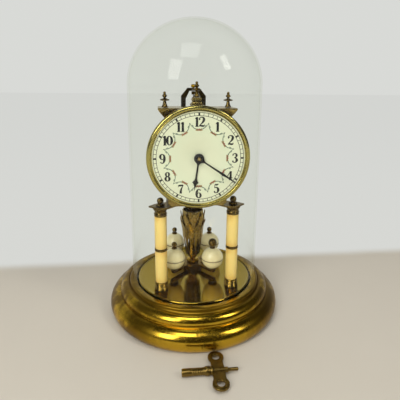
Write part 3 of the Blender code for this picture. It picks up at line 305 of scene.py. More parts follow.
@dataclass(frozen=True)
class Steel:
    """Drawn or ground steel with a straight grain and a little oxide."""

    name: str
    colour: Colour = (0.52, 0.52, 0.53)
    oxide: Colour = (0.20, 0.15, 0.11)
    gloss: float = 0.26

    def material(self) -> Material:
        """Build the material: a grain stretched along Z, with brown oxide in small patches."""
        r = Recipe(self.name)
        at = r.place()
        grain = r.noise(r.place(scale=(1, 1, 0.06)), 0.5, 2.0)
        rust = r.noise(at, 4.0, 5.0, 0.65).between(0.56, 0.74)
        colour = r.mix(rust * 0.6, r.mix(grain, self.colour, tuple(c * 0.8 for c in self.colour)), self.oxide)
        return r.principled({"Base Color": colour, "Metallic": 1.0,
                             "Roughness": self.gloss + rust * 0.25 + grain * 0.08,
                             "Normal": r.bump(grain, 0.015, 0.5)})


@dataclass(frozen=True)
class Ivorine:
    """Yellowed ivory-coloured plastic sleeve: mottled, darker towards its ends, with faint upright grain."""

    name: str
    pale: Colour = (0.93, 0.70, 0.23)
    deep: Colour = (0.74, 0.46, 0.10)
    cracked: Colour = (0.25, 0.14, 0.04)
    low: float = 43.7
    high: float = 118.0

    def material(self) -> Material:
        """Build the material: the colour deepens near the metal rings at both ends."""
        r = Recipe(self.name)
        at = r.place()
        _, _, z = r.parts(at)
        middle = (self.low + self.high) / 2 * MM
        half = (self.high - self.low) / 2 * MM
        # Deeper colour near both ends of each sleeve, next to the metal rings
        ends = abs(abs(z - middle) - half * 0.52).between(half * 0.18, half * 0.52)
        mottle = r.noise(r.place(scale=(1, 1, 0.4)), 7.0, 5.0, 0.6)
        grain = r.noise(r.place(scale=(1, 1, 0.03)), 0.7, 2.0)
        crazing = r.noise(at, 1.6, 4.0, 0.7).between(0.64, 0.70)
        age = (ends * 0.55 + mottle.between(0.4, 0.75) * 0.4 + grain * 0.15).between(0.1, 1.1)
        colour = r.mix(crazing * 0.25, r.mix(age, self.pale, self.deep), self.cracked)
        return r.principled({"Base Color": colour, "Roughness": 0.24 + mottle * 0.16,
                             "Specular IOR Level": 0.5, "Subsurface Weight": 0.08,
                             "Subsurface Radius": (0.004, 0.002, 0.001),
                             "Normal": r.bump(grain * 0.5 + mottle * 0.5, 0.05, 0.35)})


@dataclass(frozen=True)
class BallLacquer:
    """Cream lacquer on the pendulum balls, with a dark seam round the middle and worn specks."""

    name: str
    cream: Colour = (0.93, 0.85, 0.52)
    yellowed: Colour = (0.80, 0.68, 0.38)
    grimy: Colour = (0.10, 0.06, 0.025)
    seam_z: float = 56.0
    seam_half: float = 0.62

    def material(self) -> Material:
        """Build the material: brown specks, and grime beside a seam at one height."""
        r = Recipe(self.name)
        at = r.place()
        _, _, z = r.parts(at)
        away = abs(z - self.seam_z * MM)
        seam = 1 - away.between(self.seam_half * MM * 0.6, self.seam_half * MM * 1.3)
        grime = (1 - away.between(0.0, 3.2 * MM)) * r.noise(at, 2.0, 5.0, 0.7).between(0.42, 0.7)
        specks = r.specks(at, 2.9, 0.19) * r.noise(at, 5.0, 2.0).between(0.42, 0.60)
        mottle = r.noise(at, 9.0, 4.0)
        base = r.mix(mottle.between(0.35, 0.75) * 0.5, self.cream, self.yellowed)
        colour = r.mix((seam * 0.85).most(grime * 0.45).most(specks * 0.7), base, self.grimy)
        height = 1 - seam - specks * 0.4 + mottle * 0.2
        return r.principled({"Base Color": colour, "Roughness": 0.2 + specks * 0.3 + mottle * 0.1,
                             "Coat Weight": 0.35, "Coat Roughness": 0.08,
                             "Normal": r.bump(height, 0.12, 0.6)})


@dataclass(frozen=True)
class DialPaint:
    """Cream dial paint, greener inside the ring of numerals, with faint age spots."""

    name: str
    cream: Colour = (0.70, 0.74, 0.56)
    green: Colour = (0.62, 0.74, 0.57)
    foxed: Colour = (0.35, 0.22, 0.09)
    aged: Colour = (0.84, 0.80, 0.54)
    rim: Colour = (0.62, 0.56, 0.34)
    centre: Point = (0, 0, 180.4)
    green_rises: tuple[float, float] = (15.0, 29.0)
    green_falls: tuple[float, float] = (30.0, 38.0)
    rim_rises: tuple[float, float] = (43.5, 47.3)

    def material(self) -> Material:
        """Build the material: a soft green ring, mottling and tiny foxing spots."""
        r = Recipe(self.name)
        at = r.place()
        radius, _, _ = r.parts(r.lathe(Axis.FRONT, self.centre))
        rises, falls, edge = (radius.between(a * MM, b * MM)
                              for a, b in (self.green_rises, self.green_falls, self.rim_rises))
        ring = rises - falls
        mottle = r.noise(at, 18.0, 5.0, 0.6)
        fox = r.specks(at, 3.3, 0.10) * r.noise(at, 11.0).between(0.5, 0.7)
        colour = r.mix(ring * 0.55 * mottle, self.cream, self.green)
        colour = r.mix(edge * 0.3, r.mix(mottle * 0.25, colour, self.aged), self.rim)
        colour = r.mix(fox * 0.4, colour, self.foxed)
        return r.principled({"Base Color": colour, "Roughness": 0.34 + mottle * 0.1,
                             "Normal": r.bump(r.noise(at, 0.8, 3.0) + mottle, 0.02, 0.3)})


@dataclass(frozen=True)
class Ink:
    """Printing ink or black lacquer, slightly uneven and rubbed."""

    name: str
    colour: Colour = (0.012, 0.012, 0.014)
    rubbed: Colour = (0.06, 0.055, 0.05)
    gloss: float = 0.35

    def material(self) -> Material:
        """Build the material: small rubbed patches that are paler and duller."""
        r = Recipe(self.name)
        at = r.place()
        rub = r.noise(at, 1.3, 5.0, 0.65).between(0.5, 0.78)
        colour = r.mix(rub, self.colour, self.rubbed)
        return r.principled({"Base Color": colour, "Roughness": self.gloss + rub * 0.25,
                             "Normal": r.bump(r.noise(at, 0.35, 2.0), 0.01, 0.4)})


@dataclass(frozen=True)
class DomeGlass:
    """Thin clear glass: it reflects more at a slant and shows a pale olive line at its edges."""

    name: str
    edge: Colour = (0.60, 0.62, 0.36)

    def material(self) -> Material:
        """Build the material: clear, mixed with a mirror by Fresnel and with olive at the very edge."""
        r = Recipe(self.name)
        at = r.place()
        ripple = r.noise(at, 45.0, 2.0)
        smear = r.noise(r.place(scale=(1, 1, 0.4)), 12.0, 5.0, 0.7).between(0.55, 0.8)
        slant = Wire(r, r.node("ShaderNodeLayerWeight", {}, {"Blend": 0.5}).outputs["Facing"])
        normal = r.bump(ripple, 0.4, 0.12)
        clear = r.node("ShaderNodeBsdfTransparent", {}, {"Color": (0.985, 0.99, 0.975)}).outputs[0]
        shine = r.node("ShaderNodeBsdfPrincipled", {}, {
            "Base Color": r.mix(slant ** 6.0, (0.95, 0.97, 0.95), self.edge), "Metallic": 1.0,
            "Roughness": 0.02 + smear * 0.06, "Normal": normal}).outputs[0]
        share = 0.009 + (slant ** 5.0) * 0.26 + (slant ** 16.0) * 0.7 + smear * 0.004
        return r.done(r.node("ShaderNodeMixShader", {}, {0: share, 1: clear, 2: shine}).outputs[0])


@dataclass(frozen=True)
class Felt:
    """Matted green felt under the base."""

    name: str
    colour: Colour = (0.05, 0.13, 0.07)
    dusty: Colour = (0.13, 0.22, 0.13)
    matted: Colour = (0.03, 0.08, 0.04)

    def material(self) -> Material:
        """Build the material: tangled fibres at two sizes, with dusty high spots."""
        r = Recipe(self.name)
        at = r.place()
        fibre = r.noise(r.place(scale=(1, 3, 1)), 0.6, 6.0, 0.75)
        clump = r.noise(at, 3.0, 4.0)
        colour = r.mix(fibre.between(0.4, 0.8), self.colour, self.dusty)
        return r.principled({"Base Color": r.mix(clump * 0.4, colour, self.matted), "Roughness": 0.95,
                             "Sheen Weight": 0.3, "Normal": r.bump(fibre + clump, 0.3, 0.8)})


# Surfaces

@dataclass
class Surface:
    """A mesh as arrays: points in millimetres and faces as lists of point numbers."""

    points: np.ndarray
    faces: list

    def moved(self, x: float = 0, y: float = 0, z: float = 0) -> "Surface":
        """The surface shifted by this many millimetres."""
        return Surface(self.points + np.array([x, y, z]), self.faces)

    def facing_front(self, x: float, y: float, z: float) -> "Surface":
        """Turn local (right, up, out) into the clock's frame, out being -Y, about a point."""
        p = self.points
        return Surface(np.column_stack([p[:, 0] + x, y - p[:, 2], p[:, 1] + z]), self.faces)

    def spun(self, degrees: float) -> "Surface":
        """Turn about local Z by this angle, anticlockwise."""
        a = math.radians(degrees)
        turn = np.array([[math.cos(a), math.sin(a), 0], [-math.sin(a), math.cos(a), 0], [0, 0, 1]])
        return Surface(self.points @ turn, self.faces)

    def __add__(self, other: "Surface") -> "Surface":
        """Both surfaces in one mesh."""
        start = len(self.points)
        return Surface(np.vstack([self.points, other.points]),
                       self.faces + [[i + start for i in f] for f in other.faces])


def joined(surfaces: Iterable[Surface]) -> Surface:
    """Put many surfaces in one."""
    points, faces, start = [], [], 0
    for s in surfaces:
        points.append(s.points)
        faces += [[i + start for i in f] for f in s.faces]
        start += len(s.points)
    return Surface(np.vstack(points), faces)


def grid_faces(rows: int, columns: int, wrap_rows: bool, wrap_columns: bool) -> list:
    """Quads of a grid numbered row by row, joined round on themselves where asked."""
    i = np.arange(rows if wrap_rows else rows - 1)
    j = np.arange(columns if wrap_columns else columns - 1)
    a, b = np.meshgrid(i, j, indexing="ij")
    a2, b2 = (a + 1) % rows, (b + 1) % columns
    quads = np.stack([a * columns + b, a2 * columns + b, a2 * columns + b2, a * columns + b2], -1)
    return quads.reshape(-1, 4).tolist()


def curve_through(points: Sequence[Sequence[float]], steps: int = 6, closed: bool = False) -> np.ndarray:
    """A smooth line through the points: on each span the Catmull-Rom cubic of its four neighbours.

    Args:
        points: rows of coordinates; a point given twice makes a corner.
        steps: points made on each span.
        closed: whether the last point joins the first.

    Returns:
        The points of the line, one row each.
    """
    p = np.array(points, float)
    if closed:
        p = np.vstack([p[-1], p, p[0], p[1]])
    else:
        p = np.vstack([2 * p[0] - p[1], p, 2 * p[-1] - p[-2]])
    a, b, c, d = (p[k:len(p) - 3 + k][:, None, :] for k in range(4))
    t = (np.arange(steps) / steps)[None, :, None]
    bend = (2 * a - 5 * b + 4 * c - d) * t ** 2 + (3 * b - a - 3 * c + d) * t ** 3
    line = 0.5 * (2 * b + (c - a) * t + bend)
    line = line.reshape(-1, p.shape[1])
    return line if closed else np.vstack([line, p[-2]])


def arc(x: float, z: float, radius: float, start: float, end: float, count: int = 10) -> list:
    """Points on a circle about (x, z) from one angle in degrees to another."""
    a = np.radians(np.linspace(start, end, count))
    return np.column_stack([x + radius * np.cos(a), z + radius * np.sin(a)]).tolist()


def polar(radius: float, degrees: float) -> tuple[float, float]:
    """The point at this distance and angle from the origin."""
    a = math.radians(degrees)
    return radius * math.cos(a), radius * math.sin(a)


def turned(profile: Pairs, segments: int = 64, closed: bool = False) -> Surface:
    """Turn a (radius, height) profile about local Z: x = r cos t, y = r sin t, z = height."""
    p = np.array(profile, float)
    t = np.linspace(0, 2 * math.pi, segments, endpoint=False)
    r, z = p[:, :1], p[:, 1:2]
    points = np.stack([r * np.cos(t), r * np.sin(t), np.broadcast_to(z, (len(p), segments))], -1)
    return Surface(points.reshape(-1, 3), grid_faces(len(p), segments, closed, True))


def grooved(surface: Surface, beyond: float, depth: float, count: int) -> Surface:
    """Cut upright grooves in a rim: past a radius, points scale by 1 - depth * (1 + cos(count * angle))."""
    x, y = surface.points[:, 0], surface.points[:, 1]
    cut = 1 - depth * (1 + np.cos(count * np.arctan2(y, x)))
    surface.points[:, :2] *= np.where(np.hypot(x, y) > beyond, cut, 1.0)[:, None]
    return surface


def with_wall(profile: Pairs, wall: float) -> list:
    """Give a profile a wall: the same line again, moved inwards along its normals, in reverse."""
    p = np.array(profile, float)
    along = np.gradient(p, axis=0)
    along /= np.linalg.norm(along, axis=1)[:, None]
    inner = p + wall * np.column_stack([along[:, 1], -along[:, 0]])
    return p.tolist() + inner[::-1].tolist()


def carried(path: np.ndarray, section: np.ndarray, scale: np.ndarray, closed: bool = False,
            reference: Point = (0, 0, 1)) -> Surface:
    """Carry a flat section along a path in 3-D.

    Each section point (a, b) goes to path + scale * (a * side + b * up), where side is the path's direction
    crossed with the reference direction and up is side crossed with the direction.

    Args:
        path: points of the path, in millimetres.
        section: (a, b) points round the section.
        scale: one number for each path point, or one pair.
        closed: whether the path joins on itself; otherwise the ends are capped.
        reference: a direction that the path never takes.

    Returns:
        The swept surface.
    """
    ahead = np.roll(path, -1, 0) - np.roll(path, 1, 0) if closed else np.gradient(path, axis=0)
    ahead /= np.linalg.norm(ahead, axis=1)[:, None] + 1e-12
    side = np.cross(ahead, reference)
    side /= np.linalg.norm(side, axis=1)[:, None] + 1e-12
    up = np.cross(side, ahead)
    scale = np.array(scale, float)
    scale = np.column_stack([scale, scale]) if scale.ndim == 1 else scale
    points = (path[:, None] + scale[:, :1, None] * section[None, :, :1] * side[:, None]
              + scale[:, 1:, None] * section[None, :, 1:] * up[:, None])
    n, m = len(path), len(section)
    faces = grid_faces(n, m, closed, True)
    if not closed:
        faces += [list(range(m)), list(range((n - 1) * m, n * m))]
    return Surface(points.reshape(-1, 3), faces)


def stroke(line: Sequence[Sequence[float]], height: float, steps: int = 5, closed: bool = False) -> Surface:
    """A raised pen stroke on the dial: (x, y, half width) points, smoothed and given a height.

    The section is a low rectangle, its half width changing along the line.
    """
    p = curve_through(line, steps, closed) if steps > 1 else np.array(line, float)
    path = np.column_stack([p[:, :2], np.zeros(len(p))])
    section = np.array([[-1, 0], [1, 0], [1, 1], [-1, 1]], float)
    scale = np.column_stack([p[:, 2], np.full(len(p), height)])
    return carried(path, section, scale, closed)


def blob(x: float, y: float, length: float, width: float, turn: float, height: float) -> Surface:
    """A flat oval petal on the dial."""
    n = 10
    t = np.linspace(0, 2 * math.pi, n, endpoint=False)
    a = math.radians(turn)
    u, v = length / 2 * np.cos(t), width / 2 * np.sin(t)
    px, py = x + u * math.cos(a) - v * math.sin(a), y + u * math.sin(a) + v * math.cos(a)
    low = np.column_stack([px, py, np.zeros(n)])
    high = np.column_stack([px, py, np.full(n, height)])
    ends = [list(range(n)), list(range(n, 2 * n))]
    return Surface(np.vstack([low, high]), grid_faces(2, n, False, True) + ends)


# Making pieces

def linked(name: str, data: bpy.types.ID) -> Object:
    """Put new object data into the scene, with its origin at the scene's."""
    obj = bpy.data.objects.new(name, data)
    bpy.context.scene.collection.objects.link(obj)
    return obj


def plain_mesh(name: str, points: Sequence, faces: Sequence) -> Mesh:
    """Make a mesh from points in metres."""
    data = bpy.data.meshes.new(name)
    data.from_pydata(points, [], faces)
    return data


def finish_mesh(data: Mesh, smooth: float, recalculate: bool = True) -> None:
    """Weld a mesh, point its faces outwards and smooth it where faces meet below an angle in degrees."""
    work = bmesh.new()
    work.from_mesh(data)
    bmesh.ops.remove_doubles(work, verts=work.verts, dist=WELD)
    loose = [v for v in work.verts if not v.link_faces]
    bmesh.ops.delete(work, geom=loose, context="VERTS")
    if recalculate:
        bmesh.ops.recalc_face_normals(work, faces=work.faces)
    work.to_mesh(data)
    work.free()
    data.shade_smooth()
    data.set_sharp_from_angle(angle=math.radians(smooth))


@dataclass(frozen=True)
class Bevel:
    """Softened edges: width in millimetres and number of steps."""

    width: float = 0.2
    steps: int = 2

    def put_on(self, obj: Object) -> None:
        """Add the bevel as a live modifier."""
        change = obj.modifiers.new("soft_edges", "BEVEL")
        change.width = self.width * MM
        change.segments = self.steps
        change.limit_method = "ANGLE"
        change.angle_limit = BEVEL_ANGLE
        change.harden_normals = True


def add_piece(name: str, data: Mesh, material: Material, body: str,
              replaces: Sequence[str] = (), bevel: Optional[Bevel] = None) -> Object:
    """Link a mesh as a piece of the clock that rides on a body, and log it."""
    obj = linked(name, data)
    data.materials.clear()
    data.materials.append(material)
    if bevel:
        bevel.put_on(obj)
    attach(obj, body)
    if replaces:
        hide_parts(*replaces)
    LOG.info("%s: %d faces on %s", name, len(data.polygons), body)
    return obj


def add_surface(name: str, surface: Surface, material: Material, body: str,
                replaces: Sequence[str] = (), smooth: float = 35.0,
                bevel: Optional[Bevel] = None) -> Object:
    """Make a numpy surface into a piece."""
    data = plain_mesh(name, (surface.points * MM).tolist(), surface.faces)
    finish_mesh(data, smooth)
    return add_piece(name, data, material, body, replaces, bevel)


def refined(node: str, material: Material, body: str, bevel: Optional[Bevel] = None,
            smooth: float = 35.0) -> Object:
    """Stand a welded copy of a part, with merged flats and softened edges, in its place."""
    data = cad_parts[node].data.copy()
    work = bmesh.new()
    work.from_mesh(data)
    bmesh.ops.remove_doubles(work, verts=work.verts, dist=WELD)
    bmesh.ops.dissolve_limit(work, angle_limit=FLAT_ANGLE, verts=work.verts, edges=work.edges)
    work.to_mesh(data)
    work.free()
    finish_mesh(data, smooth, recalculate=False)
    return add_piece(f"{node}_fine", data, material, body, [node], bevel)


def flat_piece(loops: Sequence[Sequence[Sequence[float]]], thickness: float, soft: float) -> Surface:
    """A flat piece in local XY from outlines and holes, centred on z = 0, its edges rounded by soft."""
    curve = bpy.data.curves.new("outline", "CURVE")
    curve.dimensions = "2D"
    curve.fill_mode = "BOTH"
    curve.extrude = (thickness / 2 - soft) * MM
    curve.bevel_depth = soft * MM
    curve.bevel_resolution = 1
    curve.offset = -soft * MM
    for loop in loops:
        spline = curve.splines.new("POLY")
        spline.points.add(len(loop) - 1)
        flat = np.column_stack([np.array(loop, float)[:, :2] * MM, np.zeros(len(loop)), np.ones(len(loop))])
        spline.points.foreach_set("co", flat.ravel())
        spline.use_cyclic_u = True
    obj = linked("outline", curve)
    bpy.context.view_layer.update()
    data = bpy.data.meshes.new_from_object(obj.evaluated_get(bpy.context.evaluated_depsgraph_get()))
    bpy.data.objects.remove(obj)
    co = np.empty(len(data.vertices) * 3)
    data.vertices.foreach_get("co", co)
    return Surface(co.reshape(-1, 3) / MM, [list(p.vertices) for p in data.polygons])


# Base and dome

@dataclass
class Base:
    """Spun brass base with a half-round step and a fat roll, the polished plate and the felt."""

    plate_radius: float = 64.5
    wall: float = 1.4
    segments: int = 160

    def shell(self) -> Surface:
        """The spun shell: its outer line runs over the seat, the step and the roll, with a wall inside."""
        line = [(66.0, 33.4), (66.3, 34.3), (67.0, 34.7)] + arc(72.5, 33.3, 1.4, 90, 0, 7)
        line += [(74.0, 31.9), (74.3, 31.5), (74.6, 31.75), (74.9, 31.45), (75.2, 31.7), (75.5, 31.45),
                 (75.8, 31.7), (76.1, 31.45)] + arc(76.5, 23.5, 8.0, 88, 0, 14)
        line += [(84.35, 22.6)] + arc(83.8, 9.5, 12.2, 86, -48, 30)
        return turned(with_wall(line, self.wall), self.segments, True)

    def plate(self) -> Surface:
        """The polished plate: flat, with a rounded rim raised a little."""
        r = self.plate_radius
        line = [(0, 35.0), (r - 3.4, 35.0), (r - 2.9, 35.1)] + arc(r - 1.5, 34.2, 1.2, 130, 0, 8)
        line += [(r - 0.4, 33.75), (r - 0.6, 33.7), (0, 33.7)]
        return turned(line, self.segments)

    def build(self) -> None:
        """Make the base pieces."""
        # The base's brass gets painted shade: a darker ring from 70.6 to 78.6 mm out and darker flanks
        brass = Brass("polished base brass with painted shade", tarnish=0.8, cloud=26.0, gloss=0.16, band=(70.6, 78.6),
                      flank=0.9).material()
        mirror = Brass("polished plate brass", bright=(0.47, 0.32, 0.035), tarnish=0.3, cloud=20.0,
                       gloss=0.06).material()
        add_surface("base_spun_shell", self.shell(), brass, Body.FRAME, ["base_shell"], 40)
        add_surface("base_polished_plate", self.plate(), mirror, Body.FRAME, ["base_plate"], 40)
        felt = [(0, 1.2), (85.2, 1.2), (86.0, 0.8), (86.0, 0.2), (85.6, 0.0), (0, 0)]
        add_surface("base_felt", turned(felt, 96), Felt("green felt").material(), Body.FRAME, ["felt_pad"])


@dataclass
class Dome:
    """Blown glass dome with a fire-polished foot."""

    radius: float = 70.0
    wall: float = 1.7
    foot: float = 35.0
    spring: float = 249.0
    top: float = 316.0

    def surface(self) -> Surface:
        """A straight cylinder that turns into a half ellipse, with the same line inside it."""
        a = np.radians(np.linspace(90, 0, 40))
        outer = np.column_stack([self.radius * np.cos(a), self.spring + (self.top - self.spring) * np.sin(a)])
        inner = np.column_stack([(self.radius - self.wall) * np.cos(a),
                                 self.spring + (self.top - self.wall - self.spring) * np.sin(a)])
        outer[0, 0] = inner[0, 0] = 0.0
        side = [(self.radius, z) for z in np.linspace(self.spring - 20, self.foot + 1.0, 8)]
        middle = self.radius - self.wall / 2
        foot = arc(middle, self.foot + self.wall / 2, self.wall / 2, 0, -180, 7)
        back = [(self.radius - self.wall, z) for z in np.linspace(self.foot + 1.0, self.spring - 20, 8)]
        return turned(outer.tolist() + side + foot + back + inner[::-1].tolist(), 128)

    def build(self) -> None:
        """Make the dome."""
        glass = DomeGlass("clear dome glass").material()
        add_surface("dome_blown", self.surface(), glass, "dome", ["glass_dome"], 60)


# Columns

@dataclass
class Column:
    """Two ivory-coloured sleeves on a tie rod, between a turned foot, a middle ring and a capital."""

    side: str
    x: float
    y: float = -31.0
    sleeve_radius: float = 6.4
    sleeves: tuple = (("lower", 43.7, 79.45), ("upper", 82.35, 118.0))

    def ring(self, points: Pairs) -> Surface:
        """A turned part of the column, in its place."""
        return turned(curve_through(points, 4), 64).moved(self.x, self.y)

    def sleeve(self, low: float, high: float) -> Surface:
        """A sleeve with slightly rounded mouths."""
        r = self.sleeve_radius
        line = [(4.6, high - 0.2), (5.4, high)] + arc(r - 0.7, high - 0.7, 0.7, 80, 0, 5)
        line += arc(r - 0.7, low + 0.7, 0.7, 0, -80, 5) + [(5.4, low), (4.6, low + 0.2)]
        return turned(line, 64).moved(self.x, self.y)

    def build(self, aged: Material, ivory: Material) -> None:
        """Make the six turned pieces of one column."""
        foot = [(2.2, 43.4), (5.9, 43.4), (6.5, 43.4), (6.9, 43.1), (7.1, 42.5), (6.9, 41.9), (6.5, 41.6),
                (6.9, 41.2), (7.1, 40.7), (6.9, 40.2), (6.5, 39.9), (6.9, 39.5), (7.1, 39.0), (6.9, 38.5),
                (6.6, 38.2), (7.1, 37.7), (7.5, 37.0), (7.2, 36.4), (7.4, 36.1), (7.5, 35.9), (7.2, 35.7),
                (7.2, 35.7), (2.2, 35.7)]
        band = [(2.2, 82.0), (6.3, 82.0), (6.5, 81.9), (6.6, 81.6), (6.6, 80.2), (6.5, 79.9), (6.3, 79.8),
                (2.2, 79.8)]
        cap = [(2.2, 126.9), (7.5, 126.9), (7.8, 126.7), (7.8, 125.8), (7.5, 125.4), (6.9, 124.6),
               (6.3, 123.5), (6.05, 122.2), (6.2, 121.5), (6.7, 121.1), (6.9, 120.6), (6.7, 120.1),
               (6.3, 119.8), (6.2, 119.2), (6.5, 118.8), (6.5, 118.4), (6.3, 118.3), (2.2, 118.3)]
        rod = [(0, 137.5), (1.2, 137.3), (2.5, 136.5), (3.3, 135.2), (3.5, 134.0), (3.3, 132.8),
               (2.5, 131.6), (2.2, 131.2), (3.2, 131.1), (4.2, 130.8), (4.6, 130.2), (4.6, 129.5),
               (4.3, 129.1), (4.3, 129.1), (1.9, 129.1), (1.9, 129.1), (1.9, 120.0), (1.9, 60.0),
               (1.9, 37.0), (1.9, 33.0), (0, 33.0)]
        ringed = Brass(f"ringed {self.side} foot brass", bright=(0.40, 0.26, 0.05),
                       brown=(0.05, 0.026, 0.007), tarnish=0.4, cloud=7.0, gloss=0.2,
                       centre=(self.x, self.y, 0)).material()
        for part, surface, metal, node, slot, smooth in (
                ("foot", self.ring(foot), ringed, "column_collar", "aged_brass", 30),
                ("ring", self.ring(band), aged, "column_band", "brass", 30),
                ("capital", self.ring(cap), aged, "capital", "aged_brass", 30),
                ("rod", turned(rod, 40).moved(self.x, self.y), aged, "tie_rod", "aged_brass", 40)):
            add_surface(f"column_{part}_{self.side}", surface, metal, Body.FRAME, [f"{node}_{self.side}"],
                        smooth)
        for part, low, high in self.sleeves:
            add_surface(f"column_sleeve_{part}_{self.side}", self.sleeve(low, high), ivory, Body.FRAME,
                        [f"{part}_sleeve_{self.side}"], 40)


# Movement

@dataclass
class Movement:
    """Platform, plates, train and escapement with softened edges, plus nuts, screws and oil sinks."""

    plate_back: float = 3.0
    pillar_x: float = 25.5
    pillar_zs: tuple[float, float] = (134.0, 208.5)
    pivots: tuple = ((0, 180.4), (10, 190.2), (0, 196.83), (-10.5, 171.9), (3, 162.9))
    wheels: tuple = (("centre_wheel", "centre"), ("hour_wheel", "hour"), ("minute_wheel", "minute_wheel"),
                     ("third_wheel", "third_wheel"), ("escape_wheel", "escape_wheel"),
                     ("intermediate_wheel", "intermediate_wheel"), ("second_wheel", "second_wheel"),
                     ("mainspring_barrel", "barrel"), ("barrel_cover", "barrel"))
    steels: tuple = (("winding_arbor", "winding"), ("click", "click"), ("anchor", "anchor"))
    springs: tuple = (("mainspring", "barrel"), ("click_spring", "clock_frame"))
    screws: tuple = ((-20, 200), (20, 200), (20, 140), (22, 165), (-22, 178))

    def on_back(self, surface: Surface) -> Surface:
        """Mirror front-facing work onto the back of the back plate."""
        surface.points[:, 1] = self.plate_back - surface.points[:, 1]
        return surface

    @staticmethod
    def screw_head(radius: float, height: float, slot: float) -> Surface:
        """A domed screw head: a disc under two half discs, the space between them being the slot."""
        a = math.degrees(math.asin(slot / 2 / radius))
        half = arc(0, 0, radius, a, 180 - a, 14)
        under = turned([(0, height * 0.5), (radius, height * 0.5), (radius, 0), (0, 0)], 28)
        up = flat_piece([half], height * 0.6, 0.12).moved(z=height * 0.72)
        return under + up + up.spun(180)

    def hardware(self) -> Surface:
        """Pillar nuts on the back plate: six-sided with a rounded pillar end."""
        made = []
        for x in (-self.pillar_x, self.pillar_x):
            for z in self.pillar_zs:
                hexagon = arc(0, 0, 3.1, 0, 300, 6)
                nut = flat_piece([hexagon], 1.7, 0.2).moved(z=0.87)
                end = turned([(0, 2.6), (0.9, 2.45), (1.3, 2.0), (1.3, 1.2), (0, 1.2)], 20)
                made.append((nut + end).spun(17 * z).facing_front(x, 0, z))
        return self.on_back(joined(made))

    def sinks(self) -> Surface:
        """Bright countersunk rings round the pivot holes of the back plate."""
        ring = turned([(1.35, 0.04), (1.9, 0.12), (2.3, 0.12), (2.5, 0.02), (2.5, -0.05), (1.35, -0.05)],
                      32, True)
        return self.on_back(joined(ring.facing_front(x, 0, z) for x, z in self.pivots))

    def build(self, aged: Material, bright: Material, blued: Material) -> None:
        """Make the movement's pieces."""
        plates = Brass("brushed plate brass", bright=(0.34, 0.24, 0.07), brown=(0.06, 0.035, 0.012),
                       tarnish=0.5, gloss=0.24, axis=Axis.ACROSS).material()
        train = Brass("cut wheel brass", bright=(0.78, 0.60, 0.26), tarnish=0.15, gloss=0.2, axis=Axis.FRONT,
                      centre=(0, 0, 180.4)).material()
        steel = Steel("ground steel").material()
        edge = Bevel(0.25, 2)
        refined("platform", aged, Body.FRAME, edge)
        refined("front_plate", plates, Body.FRAME, edge)
        refined("back_plate", plates, Body.FRAME, edge)
        for node, body in self.wheels:
            refined(node, train, body, Bevel(0.08, 1))
        for node, body in self.steels:
            refined(node, steel, body, Bevel(0.1, 1))
        for node, body in self.springs:
            refined(node, blued, body, Bevel(0.05, 1))
        add_surface("pillar_nuts", self.hardware(), bright, Body.FRAME, smooth=40)
        add_surface("oil_sinks", self.sinks(), bright, Body.FRAME, smooth=40)
        screw = self.screw_head(1.5, 1.0, 0.5)
        screws = joined(screw.spun(40 * i).facing_front(x, 0, z) for i, (x, z) in enumerate(self.screws))
        add_surface("plate_screws", self.on_back(screws), blued, Body.FRAME, smooth=40)


# Dial

